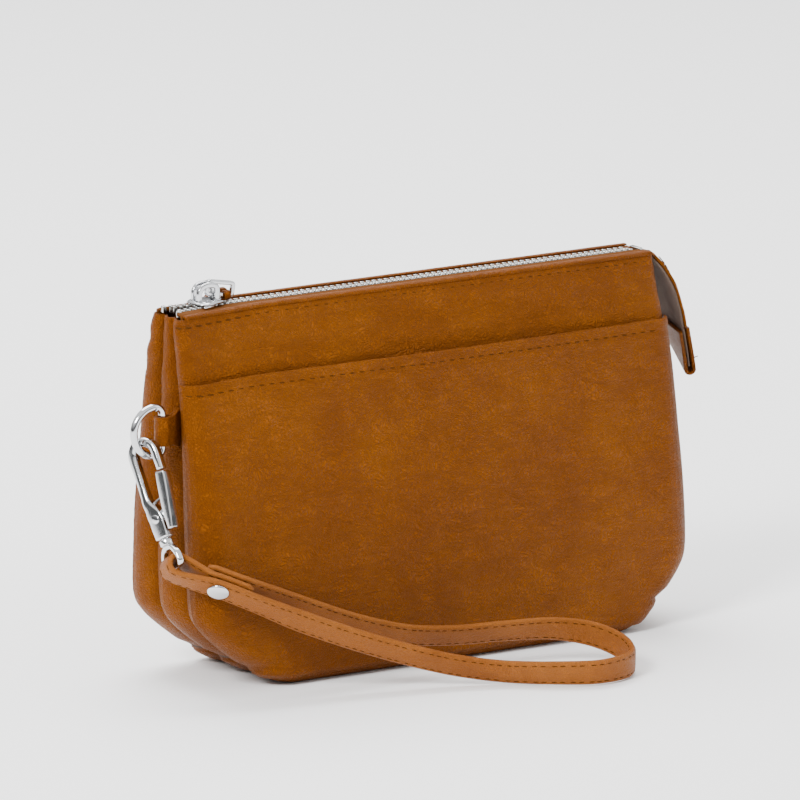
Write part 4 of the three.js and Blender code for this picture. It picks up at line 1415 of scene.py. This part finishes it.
@dataclass
class Ring:
    """The D-ring and the leather tab that holds its bar."""

    bar_x: float = -104.2
    y: float = field(default_factory=lambda: sum(p.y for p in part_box("d_ring")) / 2 / MM)
    z: float = 88.9
    height: float = 19.2
    width: float = 13.8
    wire: float = 2.6

    def ring(self) -> bpy.types.Object:
        """Makes the D-ring from one round wire bent in a D."""
        half = (self.height - self.wire) / 2
        left = self.bar_x - (self.width - self.wire) + half
        corner = self.bar_x - left
        points = []
        for k in range(33):
            angle = math.pi / 2 + math.pi * k / 32
            points.append((left + half * math.cos(angle), half * math.sin(angle)))
        for turn, low in ((-90, -1), (0, 1)):
            for k in range(7):
                angle = math.radians(turn + 90 * k / 6)
                points.append(
                    (left + corner * math.cos(angle), low * (half - corner) + corner * math.sin(angle))
                )
        frames = []
        for k in range(len(points) + 1):
            before, here, after = (points[(k + d) % len(points)] for d in (-1, 0, 1))
            tangent = Vector((after[0] - before[0], 0, after[1] - before[1])).normalized()
            normal = tangent.cross(Vector((0, 1, 0)))
            frames.append(Frame(Vector((here[0], self.y, self.z + here[1])), Vector((0, 1, 0)), normal))
        radius = self.wire / 2
        bm = bmesh.new()
        sweep(bm, frames, lambda i: rounded_section(radius, radius, radius, 5), closed=True)
        return show(to_object("d ring wire", bm, Finish.NICKEL), "ring", "d_ring")

    def tab(self) -> None:
        """Makes the leather tab: two leaves from the pouches' groove, joined round the ring's bar."""
        wrap = self.wire / 2 + 0.3 + 0.6
        root = self.bar_x + 7.4
        flat = 0.68
        forward = 2.2
        points = [Vector((root, forward - flat, 0)), Vector((self.bar_x + 4.4, 0.2 - flat, 0))]
        for k in range(13):
            angle = math.radians(-52 - 256 * k / 12)
            points.append(Vector((self.bar_x + wrap * math.cos(angle), wrap * math.sin(angle), 0)))
        points += [Vector((self.bar_x + 4.4, 0.2 + flat, 0)), Vector((root, forward + flat, 0))]
        line = Spline(points)
        frames = []
        for share in line.even(90):
            tangent = line.tangent(share)
            middle = line(share) + Vector((0, self.y, self.z))
            frames.append(Frame(middle, Vector((0, 0, 1)), tangent.cross(Vector((0, 0, 1))).normalized()))

        def section(i: int) -> list[tuple[float, float]]:
            """The tab's outline, narrower round the bar."""
            out = clamp((root - frames[i].middle.x) / (root - self.bar_x - 3.4))
            return rounded_section(6.7 * mix(1.0, 0.74, out), 0.58, 0.35, 4)

        bm = bmesh.new()
        sweep(bm, frames, section)
        show(to_object("ring tab leather", bm, Finish.BAG), "bag", "ring_tab")

    def build(self) -> None:
        """Builds the ring and its tab."""
        self.ring()
        self.tab()


@dataclass
class Clasp:
    """The swivel clasp: hook, gate and eye, round the CAD's own pin and spring. Joints go by name."""

    joints: dict[str, dict]
    place: Matrix = field(default_factory=Matrix)
    eye_turn: float = -30.0
    thickness: float = 4.2
    pin_height: float = 2.5
    pin_head: float = 1.5

    def __post_init__(self) -> None:
        """Works out the clasp's place from the joint that carries it."""
        up = Vector(self.joints["swivel_spin"]["axis"]).normalized()
        face = Vector(self.joints["gate_pivot"]["axis"]).normalized()
        across = up.cross(face).normalized()
        origin = Vector(self.joints["gate_pivot"]["pos_m"]) / MM - up * self.pin_height
        basis = Matrix((across, up, face)).transposed().to_4x4()
        basis.translation = origin
        self.place = basis

    def frames(
        self, points: Sequence[tuple[float, float]], count: int, turn: float = 0.0, closed: bool = False
    ) -> list[Frame]:
        """Frames along a flat route in the clasp's own plane.

        Args:
            points: the route's points, x across and y up.
            count: how many stretches.
            turn: degrees the plane is turned about the clasp's long axis.
            closed: True where the route ends at its start.

        Returns:
            The frames, across lying in the plane and normal out of it.
        """
        line = Spline([Vector((x, y, 0)) for x, y in points])
        matrix = self.place @ Matrix.Rotation(math.radians(turn), 4, "Y")
        made = []
        for share in line.even(count):
            tangent = line.tangent(share)
            if closed and share in (0.0, 1.0):
                tangent = (line.tangent(0.0) + line.tangent(1.0)).normalized()
            across = Vector((0, 0, 1)).cross(tangent)
            made.append(
                Frame(matrix @ line(share), matrix.to_3x3() @ across, matrix.to_3x3() @ Vector((0, 0, 1)))
            )
        return made

    def widths(self, values: Sequence[float], count: int) -> Callable[[int], float]:
        """A smooth width along a route.

        Args:
            values: full widths at even places along it.
            count: how many stretches the route has.

        Returns:
            The half width at a frame.
        """
        line = Spline([Vector((v, 0, 0)) for v in values])
        return lambda i: line(i / count).x / 2

    def hook(self) -> None:
        """Makes the hook: a block base with the pin's heads, a back arm, a round head and a nose."""
        count = 90
        top = [
            (
                2.7 - 4.65 * math.cos(math.radians(a)), 24 + 4.65 * math.sin(math.radians(a))
            ) for a in range(0, 181, 20)
        ]
        route = [
            (0, -4.2), (0, -1), (-0.05, 2.5), (-0.9, 5.8), (-1.85, 9), (-1.95, 14), (-1.95, 19)
        ] + top + [(7.4, 17.6)]
        half = self.widths([5.0, 5.6, 5.6, 4.2, 3.0, 2.8, 2.8, 3.0, 3.1, 3.1, 3.0, 2.8, 2.6, 2.4], count)
        out = self.widths([4.2, 4.2, 4.2, 4.2, 3.9, 3.7, 3.7, 3.8, 3.9, 3.9, 3.8, 3.6, 3.6, 3.4], count)
        bm = bmesh.new()
        sweep(
            bm, self.frames(route, count),
            lambda i: rounded_section(
                half(i), out(i), mix(0.5, min(half(i), out(i)) * 0.7, clamp((i - 14) / 14)), 6
            )
        )
        for side in (-1, 1):
            inner, outer = (self.place @ Vector((0, self.pin_height, side * off)) for off in (1.9, 2.5))
            rod(bm, inner, outer, self.pin_head, 28, 0.25)
        show(to_object("clasp hook casting", bm, Finish.NICKEL), "clasp", "clasp_hook")

    def gate(self) -> None:
        """Makes the gate: a flat-faced finger with a lug at its foot and a tongue to its pin."""
        count = 40
        route = [(4.5, -2.2), (4.9, 1.0), (5.3, 4.5), (5.85, 8), (6.6, 12.5), (7.35, 16.8)]
        half = self.widths([1.7, 2.7, 3.2, 3.5, 3.6, 3.4], count)
        bm = bmesh.new()
        sweep(bm, self.frames(route, count), lambda i: rounded_section(half(i), self.thickness / 2, 0.45, 4))
        sweep(
            bm, self.frames([(0, 2.5), (2, 3.2), (4.8, 4.5)], 10), lambda i: rounded_section(1.5, 0.6, 0.2, 2)
        )
        show(to_object("clasp gate casting", bm, Finish.NICKEL), "gate", "clasp_gate")

    def eye(self) -> None:
        """Makes the swivel: a collar on its post and the D-shaped eye for the strap."""
        bm = bmesh.new()
        bottom = -4.3

        def at(height: float) -> Vector:
            """A point on the swivel's post."""
            return self.place @ Vector((0, height, 0))

        rod(bm, at(bottom + 1.6), at(bottom - 1.0), 1.2)
        rod(bm, at(bottom - 0.4), at(bottom - 2.6), 2.3, 28, 0.5)
        half, bar = 5.85, -14.4
        shoulder = [
            (0, bottom - 3.1), (3.2, bottom - 3.8), (5.4, bottom - 6.2), (half, bottom - 8.4),
            (half, bar + 1.0)
        ]
        across = [(half - 0.9, bar), (0, bar), (0.9 - half, bar)]
        route = shoulder + across + [(-x, y) for x, y in shoulder[::-1]]
        frames = self.frames(route, 100, self.eye_turn, closed=True)
        sweep(bm, frames, lambda i: rounded_section(0.95, 1.15, 0.7, 5), closed=True)
        show(to_object("swivel eye casting", bm, Finish.NICKEL), "swivel", "swivel_eye")

    def build(self) -> None:
        """Builds the hook, gate and eye. The pin and spring are CAD nodes, which main dresses in metal."""
        self.hook()
        self.gate()
        self.eye()


# ---- Wrist strap ----------------------------------------------------------------------------------------


@dataclass
class Strap:
    """The wrist strap and the rivet that closes it."""

    clasp: Clasp
    width: float = 8.6
    thickness: float = 2.2
    step: float = 2.6
    eye_bar: float = -14.4
    rivet: Vector = field(default_factory=lambda: Vector((-98.6, -34.0, 39.2)))
    along: Vector = field(default_factory=lambda: Vector((0.85, -0.36, -0.385)).normalized())

    def leaning(self, degrees: float, tangent: Vector) -> Vector:
        """The direction across the strap where its top leans forward by that much."""
        across = Vector((0, -math.sin(math.radians(degrees)), math.cos(math.radians(degrees))))
        return (across - tangent * across.dot(tangent)).normalized()

    def layer(self, index: int, along: float) -> Vector:
        """A point in one of the layers that the rivet holds."""
        across = self.leaning(48, self.along)
        normal = self.along.cross(across).normalized()
        return self.rivet - normal * index * self.step + self.along * along

    def stations(self) -> list[tuple[Vector, Vector | float]]:
        """The strap's way: each point with its direction across, or its lean in degrees."""
        across = self.leaning(48, self.along)
        normal = self.along.cross(across).normalized()
        turned = self.clasp.place @ Matrix.Rotation(math.radians(self.clasp.eye_turn), 4, "Y")
        eye = self.clasp.place @ Vector((0, self.eye_bar, 0))
        bar = (turned.to_3x3() @ Vector((1, 0, 0))).normalized()
        fold = self.thickness / 2 + 1.2 + 0.75
        out = self.rivet - eye
        out = (out - bar * out.dot(bar)).normalized()
        front = out.cross(bar).normalized()
        wrap = []
        for degrees in (0, 45, 90, 135, 180):
            angle = math.radians(degrees)
            wrap.append((eye + front * fold * math.cos(angle) - out * fold * math.sin(angle), bar))
        floor = [
            (-65, -35.0, 28.5, 34), (-46, -36.5, 20.8, 34), (-27, -38.5, 15.2, 34), (-9, -41.0, 13.2, 34),
            (8, -45.0, 13.2, 32), (25, -50.0, 12.8, 26), (36.5, -56.0, 10.6, 14), (42, -64.0, 7.6, 4),
            (41, -73.0, 5.4, 0), (34, -80.4, 5.0, 6), (21, -82.6, 4.9, 16), (8, -76.0, 4.9, 24),
            (-5, -65.5, 5.0, 30), (-21, -58.0, 7.9, 32), (-37.6, -52.4, 13.0, 33), (-54, -47.6, 19.0, 34),
            (-70.7, -43.0, 26.0, 35),
        ]
        start = [(self.layer(2, -5.5), across), (self.layer(2, 0), across), (self.layer(2, 6), across)]
        back = [(self.layer(0, 12) + normal * 0.2, across), (self.layer(0, 0), across)]
        end = [
            (self.layer(1, -5), across), (self.layer(1, 0), across),
            (self.layer(1, 11) + normal * 0.2, across)
        ]
        return start + [(Vector(p[:3]), float(p[3])) for p in floor] + back + wrap + end

    def frames(self, count: int) -> list[Frame]:
        """Frames along the whole strap."""
        stations = self.stations()
        line = Spline([s[0] for s in stations])
        last = len(stations) - 1
        ways = [
            self.leaning(s[1], line.tangent(i / last)) if isinstance(s[1], float) else s[1]
            for i, s in enumerate(stations)
        ]
        lean = Spline(ways)
        made = []
        for share in line.even(count):
            tangent = line.tangent(share)
            across = lean(share)
            across = (across - tangent * across.dot(tangent)).normalized()
            made.append(Frame(line(share), across, tangent.cross(across).normalized()))
        return made

    def section(self, frames: Sequence[Frame]) -> Callable[[int], list[tuple[float, float]]]:
        """The strap's section: rounded edges, and a shallow groove beside each on both faces."""
        half, thick = self.width / 2, self.thickness / 2
        last = len(frames) - 1

        def at(i: int) -> list[tuple[float, float]]:
            """The strap's outline at a frame."""
            tip = 1 - 0.25 * (bell(i, 1.2) + bell(last - i, 1.2))
            points = []
            for side in (1, -1):
                row = []
                for y in (1.0, 0.86, 0.78, 0.7, 0.62, 0.35, 0.0, -0.35, -0.62, -0.7, -0.78, -0.86, -1.0):
                    dip = 0.16 * bell(abs(y) - 0.74, 0.06)
                    puff = 0.1 * (1 - y * y)
                    edge = 0.38 * abs(y) ** 14
                    row.append((side * y * half * tip, side * (thick - edge - dip + puff - 0.1)))
                points += row
                points.append((-side * (half + 0.18) * tip, side * thick * 0.25))
                points.append((-side * (half + 0.18) * tip, -side * thick * 0.25))
            return points

        return at

    def build(self) -> None:
        """Builds the strap, its stitches and the rivet."""
        frames = self.frames(420)
        bm = bmesh.new()
        sweep(bm, frames, self.section(frames))
        show(to_object("wrist strap leather", bm, Finish.STRAP), "strap", "wrist_strap")
        rows = []
        line = Spline([f.middle for f in frames[::6]])
        length = sum((b.middle - a.middle).length for a, b in zip(frames, frames[1:]))
        LOG.info("strap length %.0f mm, %d points", length, len(line.points))
        count = int(length / 3.1)
        for k in range(1, count):
            f = frames[round(k / count * (len(frames) - 1))]
            along = f.across.cross(f.normal).normalized()
            for side in (-1, 1):
                for face in (-1, 1):
                    spot = f.at(side * self.width * 0.37, face * (self.thickness / 2 - 0.2))
                    rows.append(Frame(spot, along, f.normal * face))
        show(stitches("wrist strap stitches", rows, 2.1, 0.42, Finish.THREAD), "strap")
        self.rivet_parts()

    def rivet_parts(self) -> None:
        """Makes the rivet's domed cap with its post, and the washer behind."""
        across = self.leaning(48, self.along)
        normal = self.along.cross(across).normalized()
        turn = Vector((0, 0, 1)).rotation_difference(normal).to_matrix().to_4x4()
        place = Matrix.Translation(self.rivet) @ turn
        face = self.thickness / 2 + 0.1
        low = -self.thickness / 2 - 2 * self.step
        cap = [(0, low), (1.2, low), (1.2, face), (3.55, face), (3.75, face + 0.2), (3.7, face + 0.5)]
        cap += [(3.2, face + 0.95), (2.2, face + 1.35), (1.1, face + 1.52), (0, face + 1.56)]
        washer = [
            (0, low - 1.3), (2.2, low - 1.25), (2.75, low - 0.9), (2.9, low - 0.4), (2.7, low - 0.15),
            (0, low - 0.15)
        ]
        for name, profile, node in (
            ("rivet cap dome", cap, "rivet_cap"), ("rivet washer disc", washer, "rivet_washer")
        ):
            bm = bmesh.new()
            verts = [bm.verts.new((x, 0, z)) for x, z in profile]
            edges = [bm.edges.new(pair) for pair in zip(verts, verts[1:])]
            bmesh.ops.spin(
                bm, geom=verts + edges, cent=(0, 0, 0), axis=(0, 0, 1), dvec=(0, 0, 0), angle=2 * math.pi,
                steps=40,
                use_merge=True,
            )
            bmesh.ops.transform(bm, matrix=place, verts=bm.verts)
            show(to_object(name, bm, Finish.NICKEL), "strap", node)


# ---- Studio ---------------------------------------------------------------------------------------------


@dataclass
class Studio:
    """Floor, lights and camera."""

    aim: Vector = field(default_factory=lambda: Vector((0.0069, 0.0166, 0.0816)))
    eye: Vector = field(default_factory=lambda: Vector((-2.151, -3.244, 0.927)))
    lens: float = 531.0

    def floor(self) -> None:
        """Lays the backdrop paper."""
        bm = bmesh.new()
        bmesh.ops.create_grid(bm, x_segments=2, y_segments=2, size=9000.0)
        made = to_object("floor", bm, Finish.PAPER)

    def light(self, name: str, place: tuple[float, float, float], size: float, watts: float) -> None:
        """Adds a square soft box that faces the wallet."""
        data = bpy.data.lights.new(name, "AREA")
        data.shape = "SQUARE"
        data.size = size
        data.energy = watts
        lamp = bpy.data.objects.new(name, data)
        bpy.context.scene.collection.objects.link(lamp)
        lamp.location = place
        lamp.rotation_euler = (self.aim - Vector(place)).to_track_quat("-Z", "Y").to_euler()

    def build(self) -> None:
        """Sets the studio."""
        self.floor()
        self.light("key", (-1.6, -0.8, 1.3), 0.6, 62.0)
        self.light("fill", (1.3, -1.3, 0.7), 1.1, 6.0)
        self.light("top", (0.2, 0.7, 1.5), 1.2, 42.0)
        world = bpy.data.worlds.new("studio")
        world.use_nodes = True
        tree = world.node_tree
        place = tree.nodes.new("ShaderNodeTexCoord")
        split = tree.nodes.new("ShaderNodeSeparateXYZ")
        ramp = tree.nodes.new("ShaderNodeValToRGB")
        ramp.color_ramp.elements[0].position, ramp.color_ramp.elements[0].color = 0.12, (0.1, 0.1, 0.1, 1)
        ramp.color_ramp.elements[1].position, ramp.color_ramp.elements[1].color = 0.5, (1, 1, 1, 1)
        tree.links.new(place.outputs["Generated"], split.inputs[0])
        tree.links.new(split.outputs["Z"], ramp.inputs["Fac"])
        tree.links.new(ramp.outputs["Color"], tree.nodes["Background"].inputs["Color"])
        tree.nodes["Background"].inputs["Strength"].default_value = 1.35
        bpy.context.scene.world = world
        data = bpy.data.cameras.new("camera")
        data.lens = self.lens
        data.sensor_width = 36.0
        data.clip_end = 50.0
        camera = bpy.data.objects.new("camera", data)
        bpy.context.scene.collection.objects.link(camera)
        camera.location = self.eye
        camera.rotation_euler = (self.aim - self.eye).to_track_quat("-Z", "Y").to_euler()
        bpy.context.scene.camera = camera


def main() -> None:
    """Builds the wallet, sub-assembly by sub-assembly."""
    logging.basicConfig(level=logging.INFO)
    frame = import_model()
    Body().build()
    Zip().build()
    Tail().build()
    Ring().build()
    clasp = Clasp({joint["name"]: joint for joint in frame["joints"]})
    clasp.build()
    Strap(clasp).build()
    for node in ("clasp_pivot_pin", "clasp_gate_spring"):
        made = frame["nodes"][node]
        made.data.materials.clear()
        made.data.materials.append(Finish.SPRING.material)
    Studio().build()


if __name__ == "__main__":
    main()
